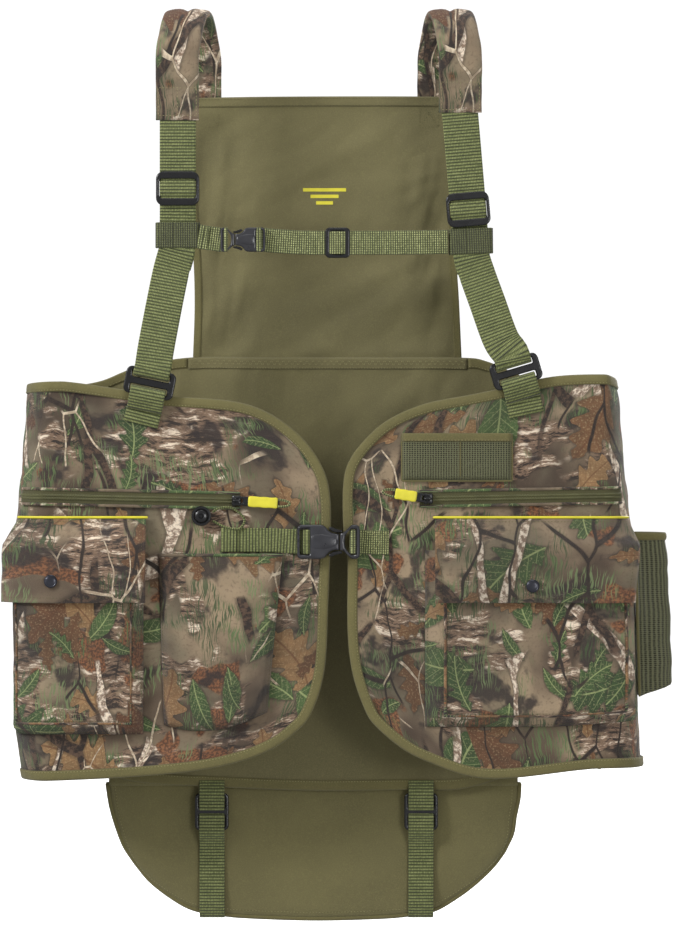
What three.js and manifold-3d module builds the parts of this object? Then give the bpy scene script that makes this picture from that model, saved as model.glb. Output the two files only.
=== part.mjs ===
// Field vest with drop-down seat, in millimetres. X to the viewer's right, Y to the back, Z up.
// The origin is level with the undersides of the two shoulder pads, on the centre line.
import * as THREE from 'three';
import { mergeVertices } from 'three/addons/utils/BufferGeometryUtils.js';
import Module from 'manifold-3d';
const wasm = await Module();
wasm.setup();
const { Manifold } = wasm;

// ---- driving dimensions ----
const HALF = 45; // inner half depth of the body
const CLOTH = 4; // layered cloth of the panels
const OUT = HALF + CLOTH; // outer face of the front panels
const SEAM = 290; // half width at the two side seams
const QUARTER = 68; // cloth length from front plane to the silhouette
const GAP = 0.4; // clearance between sewn pieces
const WEB = 1.6; // webbing thickness
const WIDE = 38; // shoulder webbing
const NARROW = 25.4; // chest, waist and seat webbing
const PAD_WIDE = 46, PAD_THICK = 11, PAD_TOP = 5.5, PAD_ARCH = 45.5, PAD_REACH = 42.5;
const BAG_DEEP = 24, BAG_HALF = 226, BAG_LOW = -760, BAG_HIGH = -400;
const SEAT_FRONT = 50, SEAT_REAR = 72, SEAT_SKIN = 2;
const POCKET_TOP = -562, POCKET_DEEP = 18, FLAP_TOP = -527.5, FLAP_LOW = -617, FLAP_OUT = 21;

const group = new THREE.Group();
group.name = 'field_vest';
const COLOURS = { olive: 0x6a6440, camo: 0x7d7058, web: 0x60683a, black: 0x222226, yellow: 0xe4dc32,
  tape: 0x4a4a28, mesh: 0x4c5032, foam: 0x30322a, snap: 0x3c3a30 };

function add(name, geometry, colour) {
  const material = new THREE.MeshStandardMaterial({ color: COLOURS[colour], roughness: 0.8 });
  const mesh = new THREE.Mesh(geometry, material);
  mesh.name = name;
  group.add(mesh);
}

// closes, orients and cleans a geometry
function closed(geometry) {
  geometry.deleteAttribute('normal');
  geometry.deleteAttribute('uv');
  const g = mergeVertices(geometry, 1e-3);
  const p = g.attributes.position, at = (i) => new THREE.Vector3().fromBufferAttribute(p, i);
  const kept = [];
  let volume = 0;
  for (let i = 0; i < g.index.count; i += 3) {
    const [a, b, c] = [0, 1, 2].map((k) => g.index.getX(i + k));
    if (a === b || b === c || a === c) continue;
    kept.push(a, b, c);
    volume += at(a).dot(at(b).cross(at(c)));
  }
  if (volume < 0) kept.reverse();
  g.setIndex(kept);
  g.computeVertexNormals();
  return g;
}

// a box of nu by nv cells whose every corner goes through f(u, v, w)
function mapped(nu, nv, f) {
  const g = new THREE.BoxGeometry(1, 1, 1, nu, nv, 1), p = g.attributes.position;
  for (let i = 0; i < p.count; i++) {
    const point = f(p.getX(i) + 0.5, p.getY(i) + 0.5, p.getZ(i) + 0.5);
    p.setXYZ(i, ...point);
  }
  return closed(g);
}

function fromManifold(m) {
  const mesh = m.getMesh(), g = new THREE.BufferGeometry();
  const n = mesh.numProp, flat = [];
  for (let i = 0; i < mesh.vertProperties.length; i += n) {
    flat.push(mesh.vertProperties[i], mesh.vertProperties[i + 1], mesh.vertProperties[i + 2]);
  }
  g.setAttribute('position', new THREE.Float32BufferAttribute(flat, 3));
  g.setIndex([...mesh.triVerts]);
  return closed(g);
}
const block = (x0, x1, y0, y1, z0, z1) =>
  Manifold.cube([x1 - x0, y1 - y0, z1 - z0]).translate([x0, y0, z0]);
// a plate cut from an outline in X and Z, between two depths
const plate = (loops, y0, y1) => Manifold.extrude(loops, y1 - y0).rotate([90, 0, 0]).translate([0, y1, 0]);

const lerp = (a, b, t) => a + (b - a) * t;
const clamp01 = (t) => Math.min(1, Math.max(0, t));
const smooth = (a, b, t) => { const k = clamp01((t - a) / (b - a)); return k * k * (3 - 2 * k); };
// piecewise linear reading of [[key, value], ...] with rising keys
function read(table, key) {
  for (let i = 1; i < table.length; i++) {
    const [[k0, v0], [k1, v1]] = [table[i - 1], table[i]];
    if (key <= k1 || i === table.length - 1) return lerp(v0, v1, clamp01((key - k0) / (k1 - k0)));
  }
}

// patch between four edge curves, each a list of [x, z] from left to right or bottom to top
function patch(bottom, top, left, right) {
  const [b, t, l, r] = [bottom, top, left, right].map(
    (c) => new THREE.SplineCurve(c.map(([x, z]) => new THREE.Vector2(x, z))));
  const [b0, b1, t0, t1] = [b.getPointAt(0), b.getPointAt(1), t.getPointAt(0), t.getPointAt(1)];
  return (u, v) => {
    const [pb, pt, pl, pr] = [b.getPointAt(u), t.getPointAt(u), l.getPointAt(v), r.getPointAt(v)];
    return ['x', 'y'].map((k) => lerp(pb[k], pt[k], v) + lerp(pl[k], pr[k], u)
      - lerp(lerp(b0[k], b1[k], u), lerp(t0[k], t1[k], u), v));
  };
}
const flat = (shape, nu, nv, y0, y1) => mapped(nu, nv, (u, v, w) => {
  const [x, z] = shape(u, v);
  return [x, lerp(y0, y1, w), z];
});

// webbing along points, its width lying along `across`; `even` spaces the cells by length
function strap(points, width, thick, across, nu, nv = 1, shape = () => 1, even = false) {
  const curve = new THREE.CatmullRomCurve3(points.map((p) => new THREE.Vector3(...p)), false, 'centripetal');
  const side = new THREE.Vector3(...across);
  return mapped(nu, nv, (u, v, w) => {
    const k = even ? curve.getUtoTmapping(u) : u, p = curve.getPoint(k), t = curve.getTangent(k);
    const n = new THREE.Vector3().crossVectors(t, side).normalize();
    const a = new THREE.Vector3().crossVectors(n, t).normalize();
    p.addScaledVector(a, (v - 0.5) * width).addScaledVector(n, (w - 0.5) * thick * shape(u, v));
    return [p.x, p.y, p.z];
  });
}

// ---- shoulder pads, yoke and back ----
// bearer: front X, back X, height of the front end, height where the padding stops
const SIDES = {
  right: { sign: -1, front: -158.5, back: -137, end: -110, seam: -72 },
  left: { sign: 1, front: 139, back: 118, end: -102, seam: -66 },
};
for (const [side, s] of Object.entries(SIDES)) {
  const points = [[s.front, -PAD_REACH, s.end], [s.front, -PAD_REACH - 0.5, (s.end - 40) / 2]];
  for (let k = 0; k <= 8; k++) {
    const angle = Math.PI * k / 8;
    points.push([lerp(s.front, s.back, k / 8), -PAD_REACH * Math.cos(angle),
      PAD_TOP - PAD_ARCH + PAD_ARCH * Math.sin(angle)]);
  }
  points.push([s.back, HALF, -60], [s.back, HALF + CLOTH / 2, -77]);
  add(`${side}_shoulder_pad`, strap(points, PAD_WIDE, PAD_THICK, [1, 0, 0], 28, 8, (u, v) => {
    const ends = lerp(0.3, 1, smooth(0.1, 0.16, u) * (1 - smooth(0.88, 0.96, u)));
    return ends * (1 - 0.5 * Math.exp(-(((v - 0.5) / 0.08) ** 2))) * lerp(0.45, 1, smooth(0, 0.13, Math.min(v, 1 - v)));
  }, true), 'camo');
}
const yoke = patch([[-145, -356.6], [-60, -356.6], [60, -356.6], [143, -356.6]],
  [[-160, -80], [-60, -79], [60, -79], [141, -78.5]],
  [[-145, -356.6], [-143, -300], [-145, -240], [-152, -150], [-160, -80]],
  [[143, -356.6], [140, -299], [137, -240], [138, -150], [141, -78.5]]);
add('back_yoke', flat(yoke, 8, 8, HALF, OUT), 'olive');
const EDGE = SEAM - GAP;
const back = patch([[-EDGE, -800], [-244, -802], [-203, -812], [-120, -817], [-14, -821], [90, -820],
  [143, -819], [203, -802], [244, -791], [EDGE, -789]],
  [[-EDGE, -390], [-245, -383], [-208, -369], [-150, -357.6], [-60, -357.2], [60, -357.2], [143, -357.6],
    [171, -362], [225, -383], [EDGE, -388]],
  [[-EDGE, -800], [-EDGE, -390]], [[EDGE, -789], [EDGE, -388]]);
add('back_panel', flat(back, 24, 6, HALF, OUT), 'olive');

// ---- front panels: flat in front, then round the side to the seam ----
const PANEL = {
  right: {
    width: [[-803, 324], [-755, 333], [-600, 333], [-540, 332], [-498, 328], [-425, 321.6], [-382, 317.5]],
    bottom: [[SEAM, -803], [208, -799], [140, -792.5], [94, -783], [60, -770], [37, -754]],
    top: [[SEAM, -386], [267, -387], [212, -395], [171, -401], [105, -406], [71, -415], [44, -431]],
    edge: [[37, -754], [19, -733], [5, -688], [1, -614], [-1.7, -534.5], [-0.5, -503], [5, -480], [21, -453],
      [44, -431]],
    seamLow: -803, seamHigh: -390,
  },
  left: {
    width: [[-789, 333], [-719, 329], [-619, 326], [-541, 323], [-500, 318], [-447, 313], [-402, 308],
      [-380, 304]],
    bottom: [[SEAM, -790], [262, -792], [194, -800], [153, -799], [115, -787], [81, -771], [50, -745]],
    top: [[SEAM, -378.5], [235, -381], [183, -393], [149, -400], [103, -409], [69, -423], [46, -440]],
    edge: [[50, -745], [37.6, -724], [26, -687], [21.6, -642], [21.6, -574], [17, -534], [17.6, -488],
      [26, -464], [46, -440]],
    seamLow: -790, seamHigh: -388,
  },
};
// a point on a front panel: cloth length s from the centre line, height z, `off` out from the outer face
function onPanel(side, s, z, off) {
  const { sign } = SIDES[side];
  if (s <= SEAM) return [sign * s, -OUT - off, z];
  const angle = (s - SEAM) / QUARTER * Math.PI / 2, a = read(PANEL[side].width, z) - SEAM + off;
  return [sign * (SEAM + a * Math.sin(angle)), -(OUT + off) * Math.cos(angle), z];
}
// height at which a sewn-on piece rests, a little more where the panel curves
const rest = (s) => GAP + 1.1 * smooth(SEAM - 30, SEAM, s);
const FLAT_CELLS = 14, ROUND_CELLS = 14;
for (const [side, p] of Object.entries(PANEL)) {
  const low = p.bottom[0][1], high = p.top[0][1];
  const shape = patch(p.bottom, p.top, [[SEAM, low], [SEAM, high]], p.edge);
  add(`${side}_front_panel`, mapped(FLAT_CELLS + ROUND_CELLS, 10, (u, v, w) => {
    const k = u * (FLAT_CELLS + ROUND_CELLS) - ROUND_CELLS;
    if (k >= 0) {
      const [s, z] = shape(k / FLAT_CELLS, v);
      return onPanel(side, Math.min(s, SEAM), z, lerp(-CLOTH, 0, w));
    }
    const round = -k / ROUND_CELLS;
    const z = lerp(lerp(low, p.seamLow, round), lerp(high, p.seamHigh, round), v);
    return onPanel(side, SEAM + 2 * QUARTER * round, z, lerp(-CLOTH, 0, w));
  }), 'camo');
  // binding tape sewn along the front edge
  const line = new THREE.SplineCurve(p.edge.map(([s, z]) => new THREE.Vector2(s, z)));
  add(`${side}_front_binding`, mapped(28, 1, (u, v, w) => {
    const c = line.getPointAt(u), t = line.getTangentAt(u), inset = lerp(0.8, 9.5, v);
    return onPanel(side, c.x + t.y * inset, c.y - t.x * inset, lerp(GAP, 1.8, w));
  }), 'olive');
}

// a pocket open at the top and towards the panel; low, s0 and s1 are functions
function pocket(side, o) {
  const draft = o.draft ?? 3, t = o.wall ?? 1.8;
  const rim = (k, n, size) => (k <= 1 ? k * draft : k >= n - 1 && size ? size - (n - k) * draft
    : draft + (k - 1) / (size ? n - 2 : n - 1) * (size ? size - 2 * draft : 1));
  return mapped(o.nu, o.nv, (u, v, w) => {
    const inset = (1 - w) * t, i = u * o.nu, j = v * o.nv;
    const frac = clamp01((i - 1) / (o.nu - 2));
    const s0 = o.s0(v) + inset, s1 = o.s1(v) - inset, s = s0 + rim(i, o.nu, s1 - s0);
    const low = o.low(frac) + inset, high = o.high;
    const z = j <= 1 ? low + j * draft : lerp(low + draft, high, (j - 1) / (o.nv - 1));
    const rise = Math.min(1, i, o.nu - i, j);
    const soft = 0.86 + 0.14 * Math.sin(Math.PI * frac);
    return onPanel(side, s, z, rest(s) + rise * (o.deep * soft - inset));
  });
}
const always = (x) => () => x;
add('right_cargo_pocket', pocket('right', { s0: always(192), s1: always(334), low: always(-757),
  high: POCKET_TOP, deep: POCKET_DEEP, nu: 12, nv: 6 }), 'camo');
add('left_cargo_pocket', pocket('left', { s0: always(100), s1: always(332),
  low: (f) => -749 + 16 * Math.max(0, f - 0.6), high: POCKET_TOP, deep: POCKET_DEEP, nu: 14, nv: 6 }), 'camo');
add('right_call_pocket', pocket('right', { s0: (v) => lerp(62, 46, v), s1: (v) => lerp(174, 180, v),
  low: (f) => -740 - 16 * Math.sin(Math.PI * clamp01(f * 0.85)) + 6 * (1 - f), high: -567, deep: 13, nu: 10, nv: 5 }),
'camo');
add('left_mesh_pocket', pocket('left', { s0: always(75.6), s1: always(195), low: always(-491), high: -436,
  deep: 7, wall: 1.2, draft: 2, nu: 8, nv: 4 }), 'mesh');
add('bottle_pocket', pocket('left', { s0: always(341), s1: always(408), low: always(-719), high: -545,
  deep: 38, wall: 1.5, draft: 7, nu: 9, nv: 5 }), 'mesh');

// ---- pocket flaps with snaps ----
const FLAP = { right: [190, 332, 290, -594], left: [111, 326, 214, -599] };
for (const [side, [s0, s1, snapS, snapZ]] of Object.entries(FLAP)) {
  const profile = [[1, FLAP_TOP], [FLAP_OUT - 0.8, -556], [FLAP_OUT, -562], [FLAP_OUT, -590], [FLAP_OUT, FLAP_LOW]];
  add(`${side}_pocket_flap`, mapped(12, 4, (u, v, w) => {
    const [off, z] = profile[Math.round(v * 4)];
    return onPanel(side, lerp(s0, s1 - (side === 'left' ? 10 * v : 0), u), z, off + 2.4 * w);
  }), 'camo');
  const [x, y, z] = onPanel(side, snapS, snapZ, FLAP_OUT + 2.4 + GAP);
  const cap = new THREE.LatheGeometry([[0, 0], [6.8, 0], [7, 0.8], [5.4, 2.2], [0, 2.6]].map(
    ([r, h]) => new THREE.Vector2(r, h)), 20);
  add(`${side}_flap_snap`, closed(cap.rotateX(Math.PI).translate(x, y, z)), 'snap');
}

// ---- zips: tape with a raised coil, slider and pull ----
const ZIP = {
  right: { s0: 92, s1: 330, z0: -510, z1: -505, slider: 96, rise: 0, pull: 58 },
  left: { s0: 96, s1: 318, z0: -508, z1: -504, slider: 105, rise: 9, pull: 50 },
};
const COIL = [[-8, 1.4], [-3, 1.4], [-2.4, 2.6], [2.4, 2.6], [3, 1.4], [8, 1.4]];
for (const [side, q] of Object.entries(ZIP)) {
  const { sign } = SIDES[side], slope = (q.z1 - q.z0) / (q.s1 - q.s0);
  add(`${side}_zip_tape`, mapped(14, 5, (u, v, w) => {
    const [dz, high] = COIL[Math.round(v * 5)], s = lerp(q.s0, q.s1, u);
    return onPanel(side, s, q.z0 + slope * (s - q.s0) + dz, rest(s) + (high - GAP) * w);
  }), 'tape');
  const tilt = -sign * Math.atan(slope) * 180 / Math.PI;
  const x = sign * q.slider, z = q.z0 + slope * (q.slider - q.s0);
  const slider = Manifold.union([block(-5, 5, -6.5, -3, -5.5, 5.5), block(-5, 5, -6.5, -1.8, 3.7, 5.5),
    block(-5, 5, -6.5, -1.8, -5.5, -3.7), block(-4.6, -3.6, -9.6, -6.4, -0.8, 0.8),
    block(3.6, 4.6, -9.6, -6.4, -0.8, 0.8), block(-4.6, 4.6, -9.6, -8.7, -0.8, 0.8)]);
  add(`${side}_zip_slider`, fromManifold(slider.rotate([0, tilt, 0]).translate([x, -OUT, z])), 'black');
  const pull = Manifold.union([
    Manifold.cylinder(7.6, 0.6, 0.6, 10, true), block(-0.6, 8, -0.6, 0.6, 2.8, 3.8),
    block(-0.6, 8, -0.6, 0.6, -3.8, -2.8), Manifold.union([block(-1.4, q.pull - 16, -0.9, 0.9, -4.2, 4.2),
      block(q.pull - 16.2, q.pull - 8, -0.9, 0.9, -5, 5)]).rotate([0, -q.rise, 0]).translate([8, 0, 0])]);
  const turned = side === 'left' ? pull.rotate([0, 0, 180]) : pull;
  add(`${side}_zip_pull`, fromManifold(turned.translate([x, -OUT - 7.6, z])), 'yellow');
}

// ---- cord lock and its elastic ----
const [lockX, lockY, lockZ] = onPanel('right', 133, -526, 2);
const lock = new THREE.LatheGeometry([[0, 0], [10, 0], [10.5, 1.5], [10.5, 7], [7, 8.4], [6.5, 11], [0, 11.4]].map(
  ([r, h]) => new THREE.Vector2(r, h)), 24);
add('right_cord_lock', closed(lock.rotateX(Math.PI).translate(lockX, lockY, lockZ)), 'black');
const loop = new THREE.CatmullRomCurve3([[11.6, 4], [20, 8.6], [33, 8], [45, -3], [40, -13], [26, -12], [11.6, -5]].map(
  ([dx, dz]) => new THREE.Vector3(lockX + dx, lockY - 3, lockZ + dz)));
const ringOf = (r, n) => new THREE.Shape(Array.from({ length: n }, (_, i) =>
  new THREE.Vector2(r * Math.cos(2 * Math.PI * i / n), r * Math.sin(2 * Math.PI * i / n))));
add('right_lock_cord', closed(new THREE.ExtrudeGeometry(ringOf(1.3, 8),
  { steps: 24, bevelEnabled: false, extrudePath: loop })), 'olive');

// ---- shoulder webbing, tri-glides, loop buckles and anchor tabs ----
// lean: X gained per millimetre down, along the straight run the tri-glide slides on
const WEBS = {
  right: { lean: 0, top: -110.5, glide: -182, keeper: [-158.3, -231], tail: [[-158, -213], [-158.8, -246], [-163, -264]],
    low: [[-165, -269], [-171, -299], [-180, -347]], buckle: [-187, -386.5], turn: -11.5, tab: [-197, -430] },
  left: { lean: 0.085, top: -104, glide: -204, keeper: [150, -237.5], tail: [[148.2, -215], [150.8, -253], [154.5, -268]],
    low: [[157, -273], [167, -301], [181, -340]], buckle: [197, -374.5], turn: 16.5, tab: [208.5, -420] },
};
const WEB_Y = -44;
for (const [side, k] of Object.entries(WEBS)) {
  const start = side === 'right' ? -158 : 138.7, xAt = (z) => start + (k.top - z) * k.lean;
  const leaning = [0, Math.atan(k.lean) * -180 / Math.PI, 0];
  const points = [k.top, -130, -160, -190].map((z) => [xAt(z), WEB_Y, z]);
  k.tail.forEach(([x, z], i) => points.push([side === 'left' && i === 0 ? xAt(z) : x, WEB_Y - 0.6 * i, z]));
  add(`${side}_shoulder_webbing`, strap(points, WIDE, WEB, [1, 0, 0], 16), 'web');

  const H = 17.8, rail = 22.4;
  const glide = Manifold.union([block(-rail, rail, -5, -2, H - 6, H), block(-rail, rail, -5, -2, -H, 6 - H),
    block(-rail, -19.6, -5, 5, -H, H), block(19.6, rail, -5, 5, -H, H), block(-rail, rail, 2, 5, -3, 3)]);
  add(`${side}_tri_glide`, fromManifold(glide.rotate(leaning).translate([xAt(k.glide), WEB_Y, k.glide])), 'black');

  const [kx, kz] = k.keeper;
  const keeper = Manifold.union([block(-22, 22, -5, -2, -13.4, 13.4), block(-22, 22, 2.2, 4.4, -9, 9),
    block(-22, -20.2, -5, 4.4, -9, 9), block(20.2, 22, -5, 4.4, -9, 9)]);
  add(`${side}_sternum_keeper`, fromManifold(keeper.rotate(leaning).translate([kx, WEB_Y - 0.3, kz])), 'web');

  const [bx, bz] = k.buckle, rad = -k.turn * Math.PI / 180, barY = -OUT - 7.4;
  const ring = plate([[[-24, -13.5], [24, -13.5], [24, 13.5], [-24, 13.5]],
    [[-20, -8.5], [-20, 8.5], [20, 8.5], [20, -8.5]]], -2.5, 2.5);
  add(`${side}_loop_buckle`, fromManifold(ring.rotate([0, -k.turn, 0]).translate([bx, barY, bz])), 'black');
  // frame turned by k.turn: along the bars and down the strap
  const at = (down, y) => [bx - Math.sin(rad) * down, y, bz - Math.cos(rad) * down];
  // half a turn round a bar, from behind to in front, through `way` of it
  const bend = (down, way) => Array.from({ length: 7 }, (_, i) => {
    const angle = Math.PI * i / 6;
    return at(down + way * 5.6 * Math.sin(angle), barY + 5.6 * Math.cos(angle));
  });
  const across = [Math.cos(rad), 0, -Math.sin(rad)];
  // tab: up behind the lower bar, over it and a short way down in front
  const [tx, tz] = k.tab;
  add(`${side}_anchor_tab`, strap([[tx, barY + 5.6, tz], at(22, barY + 5.6), ...bend(11, -1), at(20, barY - 3),
    at(30, barY + 3)], WIDE - 1, WEB, across, 30), 'web');
  // lower webbing: down in front, under the upper bar and back up behind
  const layer = (y0, y1) => k.low.map(([x, z], i) => [x, lerp(y0, y1, i / 2), z]);
  add(`${side}_lower_webbing`, strap([...layer(-46.6, barY - 2.4), at(-20, barY - 4.9), ...bend(-11, 1).reverse(),
    at(-20, barY + 5.4), ...layer(-43.6, -48.6).reverse()], WIDE, WEB, across, 42), 'web');
}

// ---- side-release buckles: socket core between two squeeze arms ----
// x runs from the socket to the plug; size scales the 66 mm buckle
function buckle(size, x, y, z, names, way = 1) {
  const socket = plate([[[-33, -17], [-31, -18], [-16, -18], [-13.5, -15], [-11, -9.6], [9, -8], [11, -6], [11, 6],
    [9, 8], [-11, 9.6], [-13.5, 15], [-16, 18], [-31, 18], [-33, 17]],
  [[-30, -14], [-30, 14], [-26, 14], [-26, -14]], [[-22.5, -14], [-22.5, 14], [-18.5, 14], [-18.5, -14]]], -5, 5);
  const plug = plate([[[15, -16], [31, -18], [33, -17], [33, 17], [31, 18], [15, 16]],
    [[19, -14], [19, 14], [23, 14], [23, -14]], [[26, -14], [26, 14], [30, 14], [30, -14]]], -4.5, 4.5);
  const arm = plate([[[-8, 12.6], [-6, 12.4], [14.6, 11.4], [14.6, 15.6], [2, 15], [-5, 17], [-8, 16.6]]], -3.6, 3.6);
  const place = (m) => fromManifold((way < 0 ? m.mirror([1, 0, 0]) : m).scale([size, size, size]).translate([x, y, z]));
  add(names[0], place(socket), 'black');
  add(names[1], place(plug), 'black');
  add(names[2], place(arm), 'black');
  add(names[3], place(arm.mirror([0, 0, 1])), 'black');
}
const WAIST_Z = -553, WAIST_Y = -OUT - 9;
buckle(1, 0.5, WAIST_Y, WAIST_Z, ['waist_buckle_socket', 'waist_buckle_plug', 'waist_arm_upper', 'waist_arm_lower']);
add('waist_webbing_right', strap([[-109, -OUT - 1.2, -551], [-60, -OUT - 1.4, -551.5], [-22, -OUT - 2.9, WAIST_Z]],
  NARROW, WEB, [0, 0, 1], 6), 'web');
add('waist_webbing_left', strap([[26, -OUT - 3.2, WAIST_Z], [44, -OUT - 2, -553.5], [64, -OUT - 1.2, -554]],
  NARROW, WEB, [0, 0, 1], 4), 'web');
const CHEST_Z = -236, CHEST_Y = WEB_Y - 3;
buckle(0.71, -89.5, CHEST_Y - 4.2, CHEST_Z,
  ['sternum_buckle_socket', 'sternum_buckle_plug', 'sternum_arm_upper', 'sternum_arm_lower'], -1);
add('sternum_webbing_short', strap([[-132.2, CHEST_Y, -232.8], [-122, CHEST_Y, -234.5], [-104, CHEST_Y + 0.6, CHEST_Z]],
  NARROW, WEB, [0, 0, 1], 4), 'web');
add('sternum_webbing_long', strap([[-76, CHEST_Y + 0.6, CHEST_Z], [-50, CHEST_Y, -237.5], [-20, CHEST_Y, -239],
  [60, CHEST_Y, -239], [122.6, CHEST_Y, -238.4]], NARROW, WEB, [0, 0, 1], 12), 'web');
const adjuster = Manifold.union([block(-13, -9, -5, -2, -15.8, 15.8), block(9, 13, -5, -2, -15.8, 15.8),
  block(-13, 13, -5, 5, 13.6, 15.8), block(-13, 13, -5, 5, -15.8, -13.6), block(-2.5, 2.5, 2, 5, -15.8, 15.8)]);
add('sternum_adjuster', fromManifold(adjuster.translate([10, CHEST_Y, -239])), 'black');

// ---- game bag on the back ----
add('game_bag', mapped(16, 7, (u, v, w) => {
  const t = 2, inset = (1 - w) * t, i = u * 16, j = v * 7, half = BAG_HALF - inset;
  const x = i <= 1 ? -half + 4 * i : i >= 15 ? half - 4 * (16 - i) : lerp(4 - half, half - 4, (i - 1) / 14);
  const low = BAG_LOW + inset, z = j <= 1 ? low + 4 * j : lerp(low + 4, BAG_HIGH, (j - 1) / 6);
  return [x, OUT + GAP + Math.min(1, i, 16 - i, j) * (BAG_DEEP - inset), z];
}), 'camo');

// ---- drop-down seat: foam between two covers, straps, ladder locks and tabs ----
const LOW = [[-206, -900], [-190, -919], [-143, -950], [-80, -957], [-14, -959.5], [84, -955], [112, -950], [156, -922],
  [188, -887]];
const seat = patch(LOW, [[-237, -812.6], [-110, -812.6], [90, -812.6], [205, -812.6]],
  [[-206, -900], [-225, -862], [-237, -812.6]], [[188, -887], [200, -849.5], [205, -812.6]]);
const foam = patch(LOW.map(([x, z]) => [-16 + (x + 16) * 0.95, -885 + (z + 885) * 0.91]),
  [[-228, -818], [-110, -818], [90, -818], [197, -818]],
  [[-196.5, -898.6], [-216, -862], [-228, -818]], [[177.8, -886.8], [191, -849.5], [197, -818]]);
add('seat_foam', flat(foam, 14, 5, SEAT_FRONT + SEAT_SKIN + GAP, SEAT_REAR - SEAT_SKIN - GAP), 'foam');
add('seat_front_cover', flat(seat, 14, 5, SEAT_FRONT, SEAT_FRONT + SEAT_SKIN), 'olive');
add('seat_back_cover', flat(seat, 14, 5, SEAT_REAR - SEAT_SKIN, SEAT_REAR), 'camo');
for (const [side, x] of [['right', -124.5], ['left', 99.2]]) {
  add(`${side}_seat_tab`, strap([[x, 47, -821.8], [x, 46.6, -834], [x, 46.2, -845]], NARROW + 1.5, WEB, [1, 0, 0], 3), 'web');
  const bar = (z) => [[-13.5, z - 2], [-13.5, z + 2], [13.5, z + 2], [13.5, z - 2]];
  const ladder = plate([[[-17.5, -20], [17.5, -20], [17.5, 20], [-17.5, 20]], bar(-14), bar(-3), bar(13)], -2.2, 2.2);
  add(`${side}_seat_lock`, fromManifold(ladder.translate([x, 42.4, -843])), 'black');
  add(`${side}_seat_strap`, strap([[x, 47.2, -848.5], [x, 48, -870], [x, 48.2, -944]], NARROW + 1.5, WEB, [1, 0, 0], 5), 'web');
}

export default group;
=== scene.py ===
"""Field vest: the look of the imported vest, built on its frame. Lengths below are in millimetres and become metres in the meshes."""
import math

import bpy
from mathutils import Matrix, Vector, noise


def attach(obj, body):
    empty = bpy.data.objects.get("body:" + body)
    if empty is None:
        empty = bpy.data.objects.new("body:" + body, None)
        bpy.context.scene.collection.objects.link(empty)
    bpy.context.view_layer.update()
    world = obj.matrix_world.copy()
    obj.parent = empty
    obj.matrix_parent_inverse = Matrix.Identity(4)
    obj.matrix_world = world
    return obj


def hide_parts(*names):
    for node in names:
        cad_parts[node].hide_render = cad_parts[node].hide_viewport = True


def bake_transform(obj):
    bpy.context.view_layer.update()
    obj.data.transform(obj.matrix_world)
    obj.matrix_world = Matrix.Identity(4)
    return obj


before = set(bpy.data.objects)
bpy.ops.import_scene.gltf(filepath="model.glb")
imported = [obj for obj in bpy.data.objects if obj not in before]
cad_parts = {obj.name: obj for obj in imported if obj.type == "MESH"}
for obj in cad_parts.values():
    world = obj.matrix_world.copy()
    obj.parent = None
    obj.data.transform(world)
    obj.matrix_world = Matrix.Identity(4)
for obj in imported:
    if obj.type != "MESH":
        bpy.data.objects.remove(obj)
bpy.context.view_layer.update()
MM = 0.001
scene = bpy.context.scene

# ---- driving sizes, as in the solid model ----
HALF, CLOTH, SEAM, QUARTER, WEB = 45, 4, 290, 68, 1.6
OUT = HALF + CLOTH
SIGN = {"right": -1, "left": 1}


def lerp(a, b, t):
    return a + (b - a) * t


def clamp(t):
    return min(1.0, max(0.0, t))


def smooth(a, b, t):
    k = clamp((t - a) / (b - a))
    return k * k * (3 - 2 * k)


def read(table, key):
    for (k0, v0), (k1, v1) in zip(table, table[1:]):
        if key <= k1:
            break
    return lerp(v0, v1, clamp((key - k0) / (k1 - k0)))


class Line:
    """A smooth line through points, read by its own length from 0 to 1."""

    def __init__(self, points, fine=16):
        p = [Vector(q) for q in points]
        p = [2 * p[0] - p[1], *p, 2 * p[-1] - p[-2]]
        self.points = [p[1]]
        for i in range(1, len(p) - 2):
            for k in range(1, fine + 1):
                t = k / fine
                self.points.append(0.5 * (2 * p[i] + (p[i + 1] - p[i - 1]) * t
                    + (2 * p[i - 1] - 5 * p[i] + 4 * p[i + 1] - p[i + 2]) * t * t
                    + (3 * p[i] - p[i - 1] - 3 * p[i + 1] + p[i + 2]) * t ** 3))
        self.along = [0.0]
        for a, b in zip(self.points, self.points[1:]):
            self.along.append(self.along[-1] + (b - a).length)
        self.length = self.along[-1]

    def at(self, t):
        want, lo, hi = clamp(t) * self.length, 0, len(self.along) - 1
        while hi - lo > 1:
            mid = (lo + hi) // 2
            lo, hi = (mid, hi) if self.along[mid] <= want else (lo, mid)
        step = self.along[hi] - self.along[lo]
        return self.points[lo].lerp(self.points[hi], (want - self.along[lo]) / step if step else 0)

    def way(self, t):
        e = 0.002
        return (self.at(t + e) - self.at(t - e)).normalized()


def patch(bottom, top, left, right):
    b, t, l, r = (Line(c) for c in (bottom, top, left, right))
    b0, b1, t0, t1 = b.at(0), b.at(1), t.at(0), t.at(1)
    return lambda u, v: (b.at(u).lerp(t.at(u), v) + l.at(v).lerp(r.at(v), u)
        - b0.lerp(b1, u).lerp(t0.lerp(t1, u), v))


def fold(x, z, size, seed=0.0, stretch=1.0, turn=0.0):
    """Soft cloth folds, about -1 to 1, longer along the turned direction."""
    c, s = math.cos(turn), math.sin(turn)
    p = Vector(((x * c + z * s) / size / stretch, (-x * s + z * c) / size, seed))
    bend = noise.noise(p * 0.5 + Vector((7, 3, 1))) * 0.8
    return noise.noise(p + Vector((0, bend, 0))) + 0.5 * (0.35 - abs(noise.noise(p * 2.1 + Vector((3, 1, 5)))))


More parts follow.
